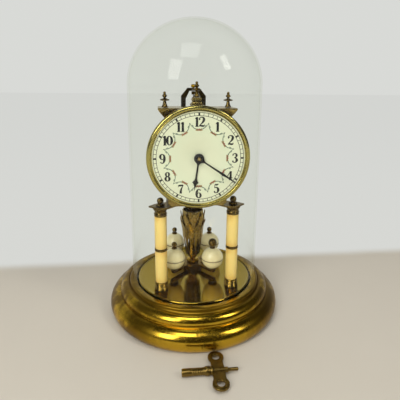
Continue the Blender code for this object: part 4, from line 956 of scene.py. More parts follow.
DIGITS: dict[str, list] = {
    "0": [("ring", 0.0, 0.5, 0.235, 0.455, 0.115, 0.038)],
    "1": [[(0.02, 0.99, 0.1), (0.02, 0.5, 0.1), (0.02, 0.02, 0.1)],
          [(-0.19, 0.8, 0.02), (-0.08, 0.88, 0.045), (0.03, 0.97, 0.05)],
          [(-0.16, 0.025, 0.028), (0.2, 0.025, 0.028)]],
    "2": [[(-0.16, 0.72, 0.085), (-0.24, 0.83, 0.05), (-0.13, 0.95, 0.04), (0.03, 0.98, 0.045),
           (0.2, 0.9, 0.08), (0.24, 0.72, 0.11), (0.14, 0.5, 0.08), (-0.06, 0.28, 0.045),
           (-0.25, 0.07, 0.03)],
          [(-0.27, 0.05, 0.03), (-0.12, 0.1, 0.06), (0.08, 0.08, 0.08), (0.24, 0.08, 0.06),
           (0.3, 0.24, 0.02)]],
    "3": [[(-0.17, 0.78, 0.08), (-0.2, 0.9, 0.04), (-0.04, 0.98, 0.04), (0.14, 0.92, 0.07),
           (0.18, 0.76, 0.1), (0.1, 0.6, 0.05), (-0.06, 0.53, 0.03)],
          [(-0.06, 0.53, 0.03), (0.12, 0.48, 0.06), (0.22, 0.27, 0.115), (0.12, 0.07, 0.06),
           (-0.04, 0.02, 0.04), (-0.2, 0.09, 0.05), (-0.18, 0.22, 0.085)]],
    "4": [[(0.1, 0.98, 0.03), (-0.12, 0.62, 0.035), (-0.32, 0.29, 0.035)],
          [(-0.33, 0.28, 0.035), (0.32, 0.28, 0.035)],
          [(0.12, 0.99, 0.095), (0.12, 0.5, 0.095), (0.12, 0.02, 0.095)],
          [(-0.06, 0.025, 0.028), (0.3, 0.025, 0.028)]],
    "5": [[(-0.16, 0.95, 0.05), (0.04, 0.92, 0.075), (0.22, 0.98, 0.03)],
          [(-0.17, 0.96, 0.03), (-0.19, 0.56, 0.03)],
          [(-0.19, 0.55, 0.02), (-0.04, 0.62, 0.045), (0.14, 0.54, 0.08), (0.21, 0.32, 0.115),
           (0.12, 0.08, 0.06), (-0.06, 0.02, 0.04), (-0.21, 0.09, 0.05), (-0.18, 0.22, 0.08)]],
    "6": [[(0.17, 0.82, 0.075), (0.14, 0.93, 0.04), (0.01, 0.98, 0.035), (-0.15, 0.83, 0.08),
           (-0.22, 0.5, 0.11), (-0.18, 0.16, 0.08), (0.0, 0.02, 0.04), (0.17, 0.12, 0.08), (0.21, 0.3, 0.1),
           (0.14, 0.5, 0.06), (0.0, 0.57, 0.03), (-0.14, 0.48, 0.03)]],
    "7": [[(-0.24, 0.9, 0.07), (0.0, 0.92, 0.08), (0.26, 0.95, 0.05)],
          [(-0.27, 0.97, 0.02), (-0.28, 0.72, 0.02)],
          [(0.27, 0.95, 0.03), (0.11, 0.66, 0.05), (0.0, 0.32, 0.09), (-0.01, 0.03, 0.11)]],
    "8": [("ring", 0.0, 0.75, 0.165, 0.215, 0.085, 0.034),
          ("ring", 0.0, 0.265, 0.205, 0.24, 0.1, 0.034)],
    "9": [],
}


@dataclass
class Dial:
    """Case, printed dial, half-round bezel, and the hands with their nut."""

    centre_z: float = 180.4
    face: float = 44.8
    ink_height: float = 0.03
    numeral_radius: float = 35.4
    numeral_height: float = 9.2
    weight: float = 1.22
    track_inner: float = 41.3
    track_outer: float = 44.2
    festoon_tip: float = 35.6
    festoon_low: float = 28.0
    digit_step: float = 0.50
    eleven_step: float = 0.42
    circle_half: float = 0.25
    petal: tuple[float, float] = (1.7, 1.15)
    petal_reach: float = 0.65

    def on_dial(self, surface: Surface) -> Surface:
        """Put flat work made about the dial's centre on the dial's face."""
        return surface.facing_front(0, -self.face, self.centre_z)

    def faced(self, profile: Pairs, segments: int, closed: bool = True) -> Surface:
        """Turn a profile about the line through the dial's centre, its heights measured towards the front."""
        return turned(profile, segments, closed).facing_front(0, 0, self.centre_z)

    def digit(self, figure: str) -> Surface:
        """One figure, a unit tall, from pen strokes and swelling rings."""
        if figure == "9":
            six = self.digit("6")
            return Surface(six.points * np.array([-1, -1, 1]) + np.array([0, 1, 0]), six.faces)
        made = []
        for item in DIGITS[figure]:
            if item[0] == "ring":
                _, x, y, wide, tall, thick, thin = item
                t = np.linspace(0, 2 * math.pi, 28, endpoint=False)
                pen = self.weight * (thin + (thick - thin) * np.abs(np.cos(t)) ** 1.6)
                line = np.column_stack([x + wide * np.cos(t), y + tall * np.sin(t), pen])
                made.append(stroke(line, 1.0, 1, True))
            else:
                pen = np.array(item) * [1, 1, self.weight]
                made.append(stroke(pen, 1.0, 5 if len(item) > 2 else 1))
        return joined(made)

    def numerals(self) -> Surface:
        """The twelve upright numerals round the dial."""
        made = []
        for hour in range(1, 13):
            x, y = polar(self.numeral_radius, 90 - 30 * hour)
            text = str(hour)
            for i, figure in enumerate(text):
                shift = (i - (len(text) - 1) / 2) * (self.digit_step if text != "11" else self.eleven_step)
                d = self.digit(figure)
                p = d.points * [self.numeral_height, self.numeral_height, self.ink_height]
                p += [x + shift * self.numeral_height, y - self.numeral_height / 2, 0]
                made.append(Surface(p, d.faces))
        return joined(made)

    def circle(self, radius: float, half: float) -> Surface:
        """A thin printed circle."""
        t = np.linspace(0, 2 * math.pi, 120, endpoint=False)
        return stroke(np.column_stack([radius * np.cos(t), radius * np.sin(t), np.full(120, half)]),
                      self.ink_height, 1, True)

    def track(self) -> Surface:
        """The minute track: two circles, sixty bars and a block at every five minutes."""
        made = [self.circle(r, self.circle_half) for r in (self.track_inner, self.track_outer)]
        for minute in range(60):
            reach, pen = (0.15, 0.85) if minute % 5 == 0 else (0.0, 0.24)
            ends = (self.track_inner - reach, self.track_outer + reach)
            made.append(stroke([(*polar(r, 6 * minute), pen) for r in ends], self.ink_height, 1))
        return joined(made)

    def festoons(self) -> Surface:
        """Twelve garlands that hang towards the centre, with pointed cusps between the numerals."""
        made = []
        for hour in range(12):
            for sign in (-1, 1):
                share = np.linspace(0, 1, 12)
                a = np.radians(30 * hour + sign * 15.0 * share)
                rise = 1.25 * (1 - np.sqrt(1 - 0.96 * share ** 2))
                r = self.festoon_low + (self.festoon_tip - self.festoon_low) * rise
                line = np.column_stack([r * np.cos(a), r * np.sin(a), 0.52 - 0.30 * share])
                made.append(stroke(line, self.ink_height, 2))
            for spread in (-11.2, 11.2):
                made.append(blob(*polar(32.4, 30 * hour + spread), 2.6, 0.7, 30 * hour + spread * 4.2,
                                 self.ink_height))
            for spread in (-5.5, -3.2, 3.2, 5.5):
                at = polar(self.festoon_low + 0.35 + abs(spread) * 0.06, 30 * hour + spread)
                made.append(blob(*at, 1.9, 0.75, 30 * hour + 62 * math.copysign(1, spread),
                                 self.ink_height + 0.01))
        return joined(made)

    def flowers(self, first: bool) -> Surface:
        """Small three-petalled flowers in the middle of the garlands, in two colours turn about."""
        made = []
        for hour in range(12):
            for k, spread in enumerate((-4.2, 0.0, 4.2)):
                if (k == 1) != first:
                    continue
                x, y = polar(self.festoon_low - 0.1, 30 * hour + spread)
                for turn in range(30 * hour, 30 * hour + 360, 120):
                    out_x, out_y = polar(self.petal_reach, turn)
                    made.append(blob(x + out_x, y + out_y, *self.petal, turn, self.ink_height + 0.02))
        return joined(made)

    def bezel(self) -> Surface:
        """Half-round bezel: a bright inner lip, a hollow and the fat outer roll."""
        f = self.face
        line = [(45.6, f + 0.35), (45.65, f + 1.0), (45.95, f + 1.3), (46.4, f + 1.2), (46.7, f + 1.05)]
        line += arc(48.4, f - 0.6, 2.5, 128, 8, 20) + [(51.0, f - 0.9), (51.0, f - 3.4), (50.8, f - 3.6),
                                                       (48.6, f - 3.6)]
        return self.faced(line + [(48.55, f - 0.2), (48.5, f + 0.25)], 144)

    def case(self) -> Surface:
        """Shallow spun case behind the dial, open in the middle of its back."""
        line = [(47.4, 43.7), (48.0, 43.7), (48.2, 43.5), (48.2, 37.6)] + arc(47.2, 37.6, 1.0, 0, -90, 6)
        line += [(25.4, 36.6), (24.4, 36.7), (24.2, 37.0), (24.4, 37.4), (25.0, 37.4), (47.2, 37.4),
                 (47.4, 37.6)]
        return self.faced(line, 120)

    def build(self, aged: Material) -> None:
        """Make the dial's pieces."""
        front = (0.0, 0.0, self.centre_z)
        olive = Brass("bezel brass", bright=(0.52, 0.43, 0.12), brown=(0.15, 0.10, 0.03), tarnish=0.4,
                      cloud=14.0, gloss=0.18, axis=Axis.FRONT, centre=front).material()
        put = Body.FRAME
        add_surface("dial_case_spun", self.case(), aged, put, ["dial_case"], 40)
        f = self.face
        disc = [(3.0, f - 0.8), (47.3, f - 0.8), (47.3, f - 0.15), (47.1, f), (3.2, f), (3.0, f - 0.1)]
        paint = DialPaint("cream dial paint", centre=front).material()
        add_surface("dial_painted", self.faced(disc, 128), paint, put, ["dial"])
        black = Ink("black printing ink", (0.006, 0.006, 0.007), (0.03, 0.028, 0.026)).material()
        green = Ink("grey green printing ink", (0.05, 0.10, 0.07), (0.17, 0.24, 0.17)).material()
        rose = Ink("rose printing ink", (0.40, 0.12, 0.07), (0.52, 0.30, 0.19)).material()
        amber = Ink("amber printing ink", (0.36, 0.20, 0.08), (0.56, 0.40, 0.22)).material()
        for part, work, ink in (("numerals", self.numerals(), black), ("minute_track", self.track(), black),
                                ("garlands", self.festoons(), green),
                                ("flowers_rose", self.flowers(True), rose),
                                ("flowers_amber", self.flowers(False), amber)):
            add_surface(f"dial_{part}", self.on_dial(work), ink, put)
        add_surface("dial_bezel", self.bezel(), olive, put, ["bezel"], 45)
        self.build_hands()

    def build_hands(self) -> None:
        """Black hands with rounded tops, the bosses raised, and the brass nut."""
        black = Ink("black lacquered steel", (0.006, 0.006, 0.007), (0.016, 0.015, 0.014), 0.5).material()
        refined("hour_hand", black, "hour", Bevel(0.16, 2))
        refined("minute_hand", black, "centre", Bevel(0.16, 2))
        for name, body, y, bore in (("hour_boss", "hour", 46.7, 2.8), ("minute_boss", "centre", 48.0, 1.9)):
            back = y - 0.75 if body == "hour" else 47.41
            high = 46.16 if body == "hour" else 47.72
            line = [(bore, high - 0.1), (bore + 0.3, high), (4.4, high), (4.85, high - 0.25), (4.9, back),
                    (bore, back)]
            add_surface(name, self.faced(line, 40), black, body)
        nut = [(1.0, 49.3), (1.2, 49.4), (1.5, 49.3), (1.8, 49.0), (1.95, 48.5), (2.0, 48.0), (2.0, 47.75),
               (1.0, 47.75)]
        shine = Brass("hand nut brass", bright=(0.45, 0.34, 0.16), tarnish=0.4, cloud=4.0, axis=Axis.FRONT,
                      centre=(0, 0, self.centre_z)).material()
        add_surface("hand_nut_turned", self.faced(nut, 40), shine, "centre", ["hand_nut"], 50)


# Cornice and suspension

@dataclass
class Cornice:
    """Hollow-moulded cornice with its stepped pedestal and three turned finials."""

    half_width: float = 39.0
    half_depth: float = 19.0
    low: float = 214.0
    high: float = 228.0
    middle_y: float = -17.0
    finial_y: float = -20.0
    finial_scale: float = 0.864

    @staticmethod
    def four_sided(sections: Sequence[tuple[float, float, float, float]], corner: float = 0.5) -> Surface:
        """A four-sided loft with rounded corners, through (z, half width, half depth, middle y) sections.

        Each ring is a rounded rectangle: five points at each corner, cos and sin scaled by the corner.
        """
        a = np.radians(np.concatenate([np.linspace(q, q + 90, 5) for q in (0, 90, 180, 270)]))
        sx = np.repeat([1, -1, -1, 1], 5)
        sy = np.repeat([1, 1, -1, -1], 5)
        s = np.array(sections, float)
        x = sx * (s[:, 1:2] - corner) + corner * np.cos(a)
        y = s[:, 3:4] + sy * (s[:, 2:3] - corner) + corner * np.sin(a)
        z = np.broadcast_to(s[:, :1], x.shape)
        n, m = x.shape
        faces = grid_faces(n, m, False, True) + [list(range(m)), list(range((n - 1) * m, n * m))]
        return Surface(np.stack([x, y, z], -1).reshape(-1, 3), faces)

    def moulding(self) -> Surface:
        """The cornice: a bead, a deep hollow that spreads outwards, and a square lip."""
        sections = []
        w, d, y = self.half_width, self.half_depth, self.middle_y
        for share in np.linspace(0, 1, 14):
            inset = 5.0 * math.cos(math.pi / 2 * share) ** 1.5 + 3.5 * (1 - share)
            sections.append((self.low + 12.8 * share, w - inset, d - 0.5 * inset, y))
        sections += [(226.85, w - 0.25, d - 0.25, y), (227.1, w, d, y), (227.75, w, d, y),
                     (228.0, w - 0.3, d - 0.3, y)]
        return self.four_sided(sections)

    def pedestal(self) -> Surface:
        """The block under the middle finial, with a step and a small hollow."""
        y = self.finial_y
        steps = [(227.9, 6.2), (231.4, 6.2), (231.8, 6.0), (232.2, 5.3), (232.8, 4.8), (233.6, 4.6),
                 (236.4, 4.6), (236.7, 4.6), (237.2, 4.6), (237.8, 4.6), (238.0, 4.4)]
        return self.four_sided([(z, h, h, y) for z, h in steps], 0.35)

    def finial(self) -> Surface:
        """A turned finial: ball tip, long neck, saucer and flared foot."""
        line = [(0, 17.6), (0.6, 17.5), (1.1, 17.0), (1.4, 16.2), (1.25, 15.2), (1.3, 14.6), (1.9, 13.9),
                (2.45, 12.8), (2.3, 12.0), (1.5, 11.3), (1.25, 10.7), (1.4, 10.2), (2.6, 9.5), (4.2, 8.8),
                (4.7, 8.3), (4.8, 7.9), (4.3, 7.5), (1.9, 7.0), (1.45, 6.5), (1.7, 5.3), (2.1, 3.2),
                (2.6, 1.9), (3.0, 1.2), (3.1, 0.4), (3.1, 0), (3.1, 0), (0, 0)]
        line = [(radius, height * self.finial_scale) for radius, height in line]
        return turned(curve_through(line, 4), 40)

    def build(self, aged: Material) -> None:
        """Make the cornice and finials."""
        gilt = Brass("cornice brass", bright=(0.46, 0.33, 0.10), brown=(0.08, 0.045, 0.012), tarnish=0.6,
                     cloud=16.0, gloss=0.22, axis=Axis.ACROSS).material()
        add_surface("cornice_moulded", self.moulding() + self.pedestal(), gilt, Body.FRAME, ["cornice"],
                    32)
        for side, x, foot in (("left", -32.0, self.high), ("centre", 0.0, 238.0), ("right", 32.0, self.high)):
            add_surface(f"finial_{side}_turned", self.finial().moved(x, self.finial_y, foot + 0.3), aged,
                        Body.FRAME, [f"finial_{side}"], 50)


@dataclass
class Suspension:
    """Bracket, thumb screw, top block, the fine ribbon that twists with the pendulum, and the fork."""

    y: float = 16.0
    ribbon_top: float = 240.4
    ribbon_low: float = 117.9
    ribbon_rows: int = 90
    ribbon_half_width: float = 0.5
    ribbon_half_thickness: float = 0.12

    def ribbon(self) -> Surface:
        """A flat strip up the pendulum's axis, in many short lengths so that it can twist."""
        rows = self.ribbon_rows
        z = np.linspace(self.ribbon_top, self.ribbon_low, rows)
        path = np.column_stack([np.zeros(rows), np.full(rows, self.y), z])
        section = np.array([[-1, -1], [1, -1], [1, 1], [-1, 1]], float)
        scale = np.tile([self.ribbon_half_width, self.ribbon_half_thickness], (rows, 1))
        return carried(path, section, scale, reference=(0, 1, 0))

    def block(self) -> Surface:
        """The clamp on top of the ribbon."""
        sections = [(240.0, 1.9, 1.4), (240.2, 2.0, 1.5), (243.2, 2.0, 1.5), (243.4, 1.9, 1.4)]
        return Cornice.four_sided([(*section, self.y) for section in sections], 0.3)

    def screw(self) -> Surface:
        """Knurled thumb screw: a round head with a rim cut by thirty-two grooves."""
        line = [(0, 250.9), (1.7, 250.9), (2.0, 250.7), (2.6, 250.3), (2.6, 248.4), (2.0, 247.4),
                (1.0, 247.3), (1.0, 244.0), (0, 244.0)]
        return grooved(turned(line, 96), 2.3, 0.03, 32).moved(0, self.y)

    def build(self, aged: Material, bright: Material, blued: Material) -> None:
        """Make the suspension's pieces."""
        dark = Brass("bracket brass", bright=(0.07, 0.05, 0.022), brown=(0.02, 0.013, 0.006), tarnish=0.7,
                     gloss=0.32, axis=Axis.ACROSS).material()
        refined("suspension_bracket", dark, Body.FRAME, Bevel(0.35, 3))
        add_surface("suspension_thumb_screw", self.screw(), bright, Body.FRAME, ["suspension_screw"],
                    40)
        add_surface("suspension_top_block", self.block(), aged, Body.FRAME)
        refined("fork", bright, "fork", Bevel(0.15, 1))
        strip = self.ribbon()
        data = plain_mesh("suspension_ribbon", (strip.points * MM).tolist(), strip.faces)
        finish_mesh(data, 35)
        data.materials.append(blued)
        obj = linked("suspension_ribbon", data)
        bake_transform(obj)
        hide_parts("suspension_spring")
        LOG.info("suspension_ribbon: %d faces, twisting", len(data.polygons))


# Pendulum

@dataclass
class Pendulum:
    """Table with four arms, spindle, leafed crown, regulating disc and four lacquered balls."""

    y: float = 16.0
    ball_ring: float = 30.9
    ball_z: float = 56.0
    ball_radius: float = 12.4
    groove_angle: float = 0.014
    groove_depth: float = 0.22
    leaves: int = 8
    balls: tuple = (("back_right", 42.0, 3.0), ("back_left", 132.0, 3.0), ("front_left", 222.0, 3.0),
                    ("front_right", 312.0, 4.8))

    def leaf(self, low: float, high: float, root: float, tip: float) -> Surface:
        """One pointed leaf, curling outwards: across u and up v, with a raised midrib and side veins.

        Its half width grows and then closes to a point; its radius flares from root to tip with v squared.
        """
        v = np.linspace(0, 1, 26)[:, None]
        u = np.linspace(-1, 1, 15)[None, :]
        half = np.radians(22.0) * np.clip(0.55 + 0.45 * v / 0.45, 0, 1) * np.clip((1 - v) / 0.5, 0, 1) ** 0.62
        t = u * half
        rib = 0.35 * np.exp(-(u / 0.16) ** 2) - 0.22 * (1 - np.abs(u)) * np.cos(26 * v + 5 * np.abs(u))
        radius = root + (tip - root) * v ** 2 + rib * (0.4 + 0.6 * v) + 0.25 * u ** 2
        z = low + (high - low) * v - 1.2 * u ** 2 * v
        outer = np.stack([radius * np.cos(t), radius * np.sin(t), z + 0 * t], -1).reshape(-1, 3)
        inner = np.stack([(radius - 0.5) * np.cos(t), (radius - 0.5) * np.sin(t), z + 0 * t],
                         -1).reshape(-1, 3)
        n, m = radius.shape
        top = grid_faces(n, m, False, False)
        low = [[i + n * m for i in f[::-1]] for f in top]
        rim = (list(range(m)) + [k * m + m - 1 for k in range(1, n)]
               + [(n - 1) * m + k for k in range(m - 2, -1, -1)] + [k * m for k in range(n - 2, 0, -1)])
        side = [[rim[k], rim[(k + 1) % len(rim)], rim[(k + 1) % len(rim)] + n * m, rim[k] + n * m]
                for k in range(len(rim))]
        return Surface(np.vstack([outer, inner]), top + low + side)

    def spindle(self) -> Surface:
        """The turned spindle: cup, long waist and beads up to the ribbon."""
        line = [(0, 117.7), (1.0, 117.6), (1.7, 117.1), (2.0, 115.8), (1.8, 114.2), (1.2, 112.8),
                (1.15, 110.0), (1.2, 99.0), (1.5, 97.2), (1.95, 96.0), (1.6, 94.6), (1.35, 92.0),
                (1.4, 84.0), (1.9, 83.0), (1.4, 82.0), (1.4, 74.0), (1.6, 71.5), (2.1, 70.0), (1.7, 68.5),
                (1.5, 66.0), (1.8, 57.0), (2.3, 54.6), (2.6, 53.6), (2.6, 52.6), (5.2, 52.3), (5.55, 51.2),
                (5.6, 50.2), (5.2, 48.8), (4.2, 47.4), (3.2, 46.5), (2.7, 45.8), (2.6, 45.2), (2.6, 41.9),
                (2.6, 41.8), (0, 41.8)]
        return turned(curve_through(line, 4), 48).moved(0, self.y)

    def disc(self) -> Surface:
        """Milled regulating disc: its rim is cut by sixty fine grooves."""
        line = [(2.9, 45.2), (6.3, 45.2), (6.9, 44.9), (7.2, 44.4), (7.2, 42.9), (6.9, 42.2), (6.5, 41.9),
                (2.9, 41.9)]
        return grooved(turned(line, 180, True), 7.0, 0.018, 60).moved(0, self.y)

    def build(self, aged: Material, bright: Material) -> None:
        """Make the pendulum's pieces."""
        middle = (0, self.y, 0)
        gold = Brass("crown brass", bright=(0.42, 0.29, 0.085), brown=(0.07, 0.04, 0.012), tarnish=0.55,
                     cloud=10.0, gloss=0.22, centre=middle).material()
        put = Body.PENDULUM
        arms = Brass("pendulum arm brass", bright=(0.32, 0.20, 0.05), brown=(0.06, 0.03, 0.008),
                     tarnish=0.5, cloud=9.0, gloss=0.2, centre=middle).material()
        refined("pendulum_table", arms, put, Bevel(0.4, 3))
        add_surface("pendulum_spindle_turned", self.spindle(), bright, put, ["pendulum_spindle"], 50)
        refined("pendulum_crown", gold, put, Bevel(0.15, 2), 50)
        add_surface("regulator_disc_milled", self.disc(), bright, "regulator", ["regulator_disc"],
                    40)
        upper, lower = self.leaf(86.0, 107.0, 12.6, 14.4), self.leaf(74.5, 97.5, 11.7, 15.4)
        step = 360 / self.leaves
        leaves = joined([upper.spun(step * i) for i in range(self.leaves)]
                        + [lower.spun(step * (i + 0.5)) for i in range(self.leaves)]).moved(0, self.y)
        add_surface("crown_leaves", leaves, gold, put, smooth=50)
        cream = BallLacquer("cream ball lacquer").material()
        for name, degrees, knob in self.balls:
            x, y = polar(self.ball_ring, degrees)
            self.build_ball(name, x, self.y + y, knob, cream, aged)

    def build_ball(self, name: str, x: float, y: float, knob: float, cream: Material,
                   aged: Material) -> None:
        """Make one ball, cut flat at both poles and grooved at its seam, and its collar and knob."""
        r, z = self.ball_radius, self.ball_z
        half = np.linspace(75.9, 1.2, 20)
        a = np.radians(np.concatenate([half, [0.9, 0.0, -0.9], -half[::-1]]))
        radius = np.where(np.abs(a) < self.groove_angle, r - self.groove_depth, r)
        sphere = np.column_stack([radius * np.cos(a), z + r * np.sin(a)])
        line = [(0, z + r * math.sin(a[0])), *sphere.tolist()]
        line += [(3.0, 43.6), (3.0, 41.9), (2.9, 41.8), (0, 41.8)]
        add_surface(f"ball_{name}_lacquered", turned(line, 72).moved(x, y), cream, f"ball_{name}",
                    [f"ball_{name}"], 50)
        top = z + r * math.sin(a[0]) + 0.3
        centre = top + 2.2 + 0.9 * knob
        shape = [(0, centre + knob)] + arc(0, centre, knob, 88, -58, 16)
        neck = centre + knob * math.sin(math.radians(-58))
        shape += [(knob * 0.42, neck - 0.12), (1.9, top + 1.75), (2.3, top + 1.55), (3.0, top + 1.3),
                  (3.1, top + 0.9), (3.1, top + 0.1), (3.0, top), (0, top)]
        add_surface(f"ball_knob_{name}", turned(shape, 48).moved(x, y), aged, f"ball_{name}",
                    [f"ball_finial_{name}"], 50)
        cup = [(3.0, 43.9), (3.9, 44.1), (4.9, 44.55), (5.2, 44.4), (5.0, 43.5), (4.2, 42.7), (4.4, 42.2),
               (4.3, 41.9), (3.0, 41.9)]
        add_surface(f"ball_foot_{name}", turned(cup, 48, True).moved(x, y), aged, f"ball_{name}")


# Key

@dataclass
class Key:
    """Double-ended key lying in front of the base: socket barrel, rings, two-looped bow and pin."""

    x: float = 10.5
    y: float = -119.3
    z: float = 4.0
    socket_end: float = -19.0
    socket_mouth: float = 2.9
    socket_half: float = 1.9

    def stem(self) -> Surface:
        """Barrel with a square socket end, rings at the neck and the thin pin end, along X."""
        line = [(0, 18.0), (0.8, 18.0), (1.2, 17.7), (1.5, 17.0), (1.5, 9.2), (1.9, 8.8), (2.3, 8.5),
                (2.3, -4.0), (3.2, -4.3), (3.8, -4.7), (4.0, -5.3), (4.0, -6.2), (3.6, -6.7), (3.6, -7.2),
                (4.0, -7.7), (4.0, -11.2), (3.7, -11.8), (3.3, -12.4), (3.4, -13.6)]
        line += [(3.4 if k % 2 else 3.05, -14.4 - 0.75 * k) for k in range(14)]
        line += [(3.4, -25.6), (3.4, -31.4), (3.1, -32.4), (2.75, -32.5), (2.7, -20.0), (0, -20.0)]
        made = turned(line, 56)
        p = made.points
        radius = np.hypot(p[:, 0], p[:, 1])
        bore = (p[:, 2] < self.socket_end) & (radius < self.socket_mouth) & (radius > 0.1)
        square = self.socket_half / np.maximum(np.maximum(np.abs(p[:, 0]), np.abs(p[:, 1])), 1e-6)
        p[bore, :2] *= square[bore, None]
        return Surface(np.column_stack([p[:, 2] + self.x, p[:, 0] + self.y, p[:, 1] + self.z]), made.faces)

    def bow(self) -> Surface:
        """The flat bow: two round eyes joined at a waist, with rounded edges."""
        r, off, waist = 7.4, 15.5, 5.8
        side = curve_through([(-5.83, 10.94), (-5.6, 8.0), (-waist, 3.5), (-waist, -3.5), (-5.6, -8.0),
                              (-5.83, -10.94)], 4)
        outline = arc(0, off, r, -38, 218, 40) + side.tolist()[1:-1]
        outline += arc(0, -off, r, 142, 398, 40) + (-side).tolist()[1:-1]
        eyes = [arc(0, s * off, 3.4, 0, 350, 36) for s in (-1, 1)]
        return flat_piece([outline] + eyes, 2.0, 0.45).moved(self.x, self.y, self.z)

    def build(self, aged: Material) -> None:
        """Make the key."""
        worn = Brass("worn key brass", bright=(0.24, 0.155, 0.04), brown=(0.05, 0.028, 0.009), tarnish=0.6,
                     cloud=8.0, gloss=0.30, axis=Axis.ACROSS, centre=(0, self.y, self.z)).material()
        add_surface("key_stem_and_bow", self.stem() + self.bow(), worn, "key", ["winding_key"],
                    45)


# Studio: each lamp's name, place and size in metres, watts, colour and whether metal and glass mirror it

LAMPS: tuple = (
    ("window", (-0.80, -0.95, 0.85), (0.45, 0.8), 8.0, (1.0, 0.98, 0.95), True),
    ("side_panel", (0.85, -0.65, 1.00), (0.25, 0.5), 4.0, (1.0, 0.96, 0.90), True),
    ("front_fill", (-0.30, -1.45, 0.36), (0.7, 0.34), 8.0, (1.0, 0.99, 0.95), False),
    ("overhead", (-0.20, -0.60, 1.35), (0.55, 0.6), 4.5, (1.0, 1.0, 0.99), True),
    ("top_fill", (0.1, 0.2, 1.5), (1.2, 1.0), 4.8, (1.0, 1.0, 0.99), False),
)


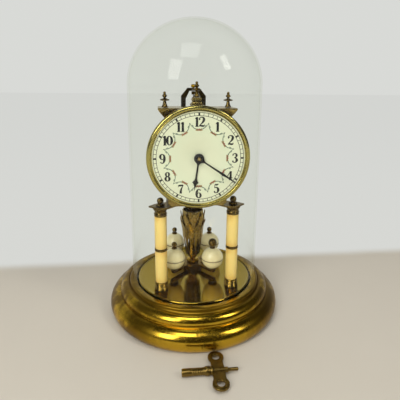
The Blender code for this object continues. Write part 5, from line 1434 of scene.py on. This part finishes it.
@dataclass
class Studio:
    """Pale table top and room, soft lamps, and the camera."""

    eye: Point = (-38.4, -389.7, 248.8)
    pan: float = 6.54
    tilt: float = 13.04
    roll: float = 0.009
    lens: float = 32.76
    sensor: float = 36.0
    shift: float = -0.0737
    clip: tuple[float, float] = (0.01, 50.0)
    table_half: float = 12.0
    cloth_back: tuple[float, float] = (0.090, 0.118)
    cloth_ends: tuple[float, float] = (0.55, 1.2)
    glow_share: float = 0.94
    room_dark: Colour = (0.03, 0.026, 0.02)
    room_light: Colour = (0.68, 0.69, 0.67)
    pale: Colour = (0.69, 0.70, 0.675)
    aim: Point = (0.0, 0.0, 0.15)

    def camera(self) -> None:
        """Place the camera: pan and tilt give the line of sight and roll turns it round that line."""
        a, b = math.radians(self.pan), math.radians(self.tilt)
        sight = np.array([math.sin(a) * math.cos(b), math.cos(a) * math.cos(b), -math.sin(b)])
        right = np.cross(sight, [0, 0, 1])
        right /= np.linalg.norm(right)
        up = np.cross(right, sight)
        c, s = math.cos(self.roll), math.sin(self.roll)
        right, up = right * c + up * s, up * c - right * s
        data = bpy.data.cameras.new("camera")
        data.lens, data.sensor_width, data.shift_y = self.lens, self.sensor, self.shift
        data.clip_start, data.clip_end = self.clip
        obj = linked("camera", data)
        place = np.eye(4)
        place[:3, :3] = np.column_stack([right, up, -sight])
        place[:3, 3] = np.array(self.eye) * MM
        obj.matrix_world = Matrix(place.tolist())
        bpy.context.scene.camera = obj

    def lamp(self, name: str, place: Point, size: tuple[float, float], watts: float, colour: Colour,
             mirrored: bool) -> None:
        """Add a soft rectangular lamp that shines at the clock, sizes and places in metres."""
        data = bpy.data.lights.new(name, "AREA")
        data.shape, data.size, data.size_y = "RECTANGLE", size[0], size[1]
        data.energy, data.color = watts, colour
        obj = linked(name, data)
        obj.visible_glossy = mirrored
        back = np.array(place) - np.array(self.aim)
        back /= np.linalg.norm(back)
        side = np.cross([0, 0, 1], back)
        side /= np.linalg.norm(side)
        turn = np.eye(4)
        turn[:3, :3] = np.column_stack([side, np.cross(back, side), back])
        turn[:3, 3] = place
        obj.matrix_world = Matrix(turn.tolist())

    def floor(self) -> None:
        """A wide pale table top, warm near the clock and fading to the room's pale grey behind it."""
        r = Recipe("pale table top")
        at = r.place()
        x, y, _ = r.parts(at)
        away = ((x * x + y * y) ** 0.5).between(*self.cloth_ends)
        far = (y + r.noise(at, 60.0, 1.0) * 0.004).between(*self.cloth_back).most(away)
        paper = r.noise(at, 40.0, 4.0)
        near = r.mix(paper * 0.35, (0.66, 0.615, 0.53), (0.62, 0.57, 0.485))
        cloth = r.node("ShaderNodeBsdfPrincipled", {},
                       {"Base Color": near, "Roughness": 0.8, "Specular IOR Level": 0.2,
                        "Normal": r.bump(paper, 0.05, 0.2)}).outputs[0]
        glow = r.node("ShaderNodeEmission", {}, {"Color": self.pale, "Strength": 1.0}).outputs[0]
        material = r.done(r.node("ShaderNodeMixShader", {},
                                 {0: far * self.glow_share, 1: cloth, 2: glow}).outputs[0])
        h = self.table_half
        corners = [(-h, -h, 0), (h, -h, 0), (h, h, 0), (-h, h, 0)]
        data = plain_mesh("table_top", corners, [(0, 1, 2, 3)])
        data.materials.append(material)
        obj = linked("table_top", data)

    def room(self) -> None:
        """Soft light from a pale room: bright overhead and behind the clock, dimmer low in front of it."""
        world = bpy.data.worlds.new("room")
        bpy.context.scene.world = world
        world.use_nodes = True
        r = Recipe.__new__(Recipe)
        r.tree = world.node_tree
        r.tree.nodes.clear()
        direction = r.node("ShaderNodeTexCoord").outputs["Generated"]
        x, y, z = r.parts(direction)
        blotch = Wire(r, r.node("ShaderNodeTexNoise", {},
                                {"Vector": direction, "Scale": 2.3, "Detail": 1.0}).outputs[0])
        level = (y * 0.9 - z * 0.45 - x * 0.2 + blotch * 0.6).between(0.2, 1.1)
        tones = r.mix(level, self.room_dark, self.room_light)
        soft = r.node("ShaderNodeBackground", {}, {"Color": tones, "Strength": 1.0}).outputs[0]
        plain = r.node("ShaderNodeBackground", {}, {"Color": self.pale, "Strength": 1.0}).outputs[0]
        seen = r.node("ShaderNodeLightPath").outputs["Is Camera Ray"]
        mixed = r.node("ShaderNodeMixShader", {}, {0: seen, 1: soft, 2: plain}).outputs[0]
        r.node("ShaderNodeOutputWorld", {}, {"Surface": mixed})

    def build(self) -> None:
        """Set up the table, room, lamps and camera."""
        self.camera()
        self.floor()
        self.room()
        for settings in LAMPS:
            self.lamp(*settings)
        view = bpy.context.scene.view_settings
        view.view_transform = "Standard"


def main() -> None:
    """Build the clock from the table up, then the studio."""
    aged = Brass("aged brass", bright=(0.19, 0.125, 0.035), brown=(0.028, 0.016, 0.006), tarnish=0.6,
                 cloud=9.0, gloss=0.24).material()
    bright = Brass("bright turned brass", tarnish=0.3, cloud=8.0).material()
    blued = Steel("blued spring steel", (0.20, 0.22, 0.32), (0.12, 0.09, 0.09), 0.22).material()
    ivory = Ivorine("ivory-coloured plastic").material()
    Base().build()
    Dome().build()
    for side, x in (("left", -38.0), ("right", 38.0)):
        Column(side, x).build(aged, ivory)
    Movement().build(aged, bright, blued)
    Dial().build(aged)
    Cornice().build(aged)
    Suspension().build(aged, bright, blued)
    Pendulum().build(aged, bright)
    Key().build(aged)
    Studio().build()
    bpy.context.view_layer.update()


if __name__ == "__main__":
    main()
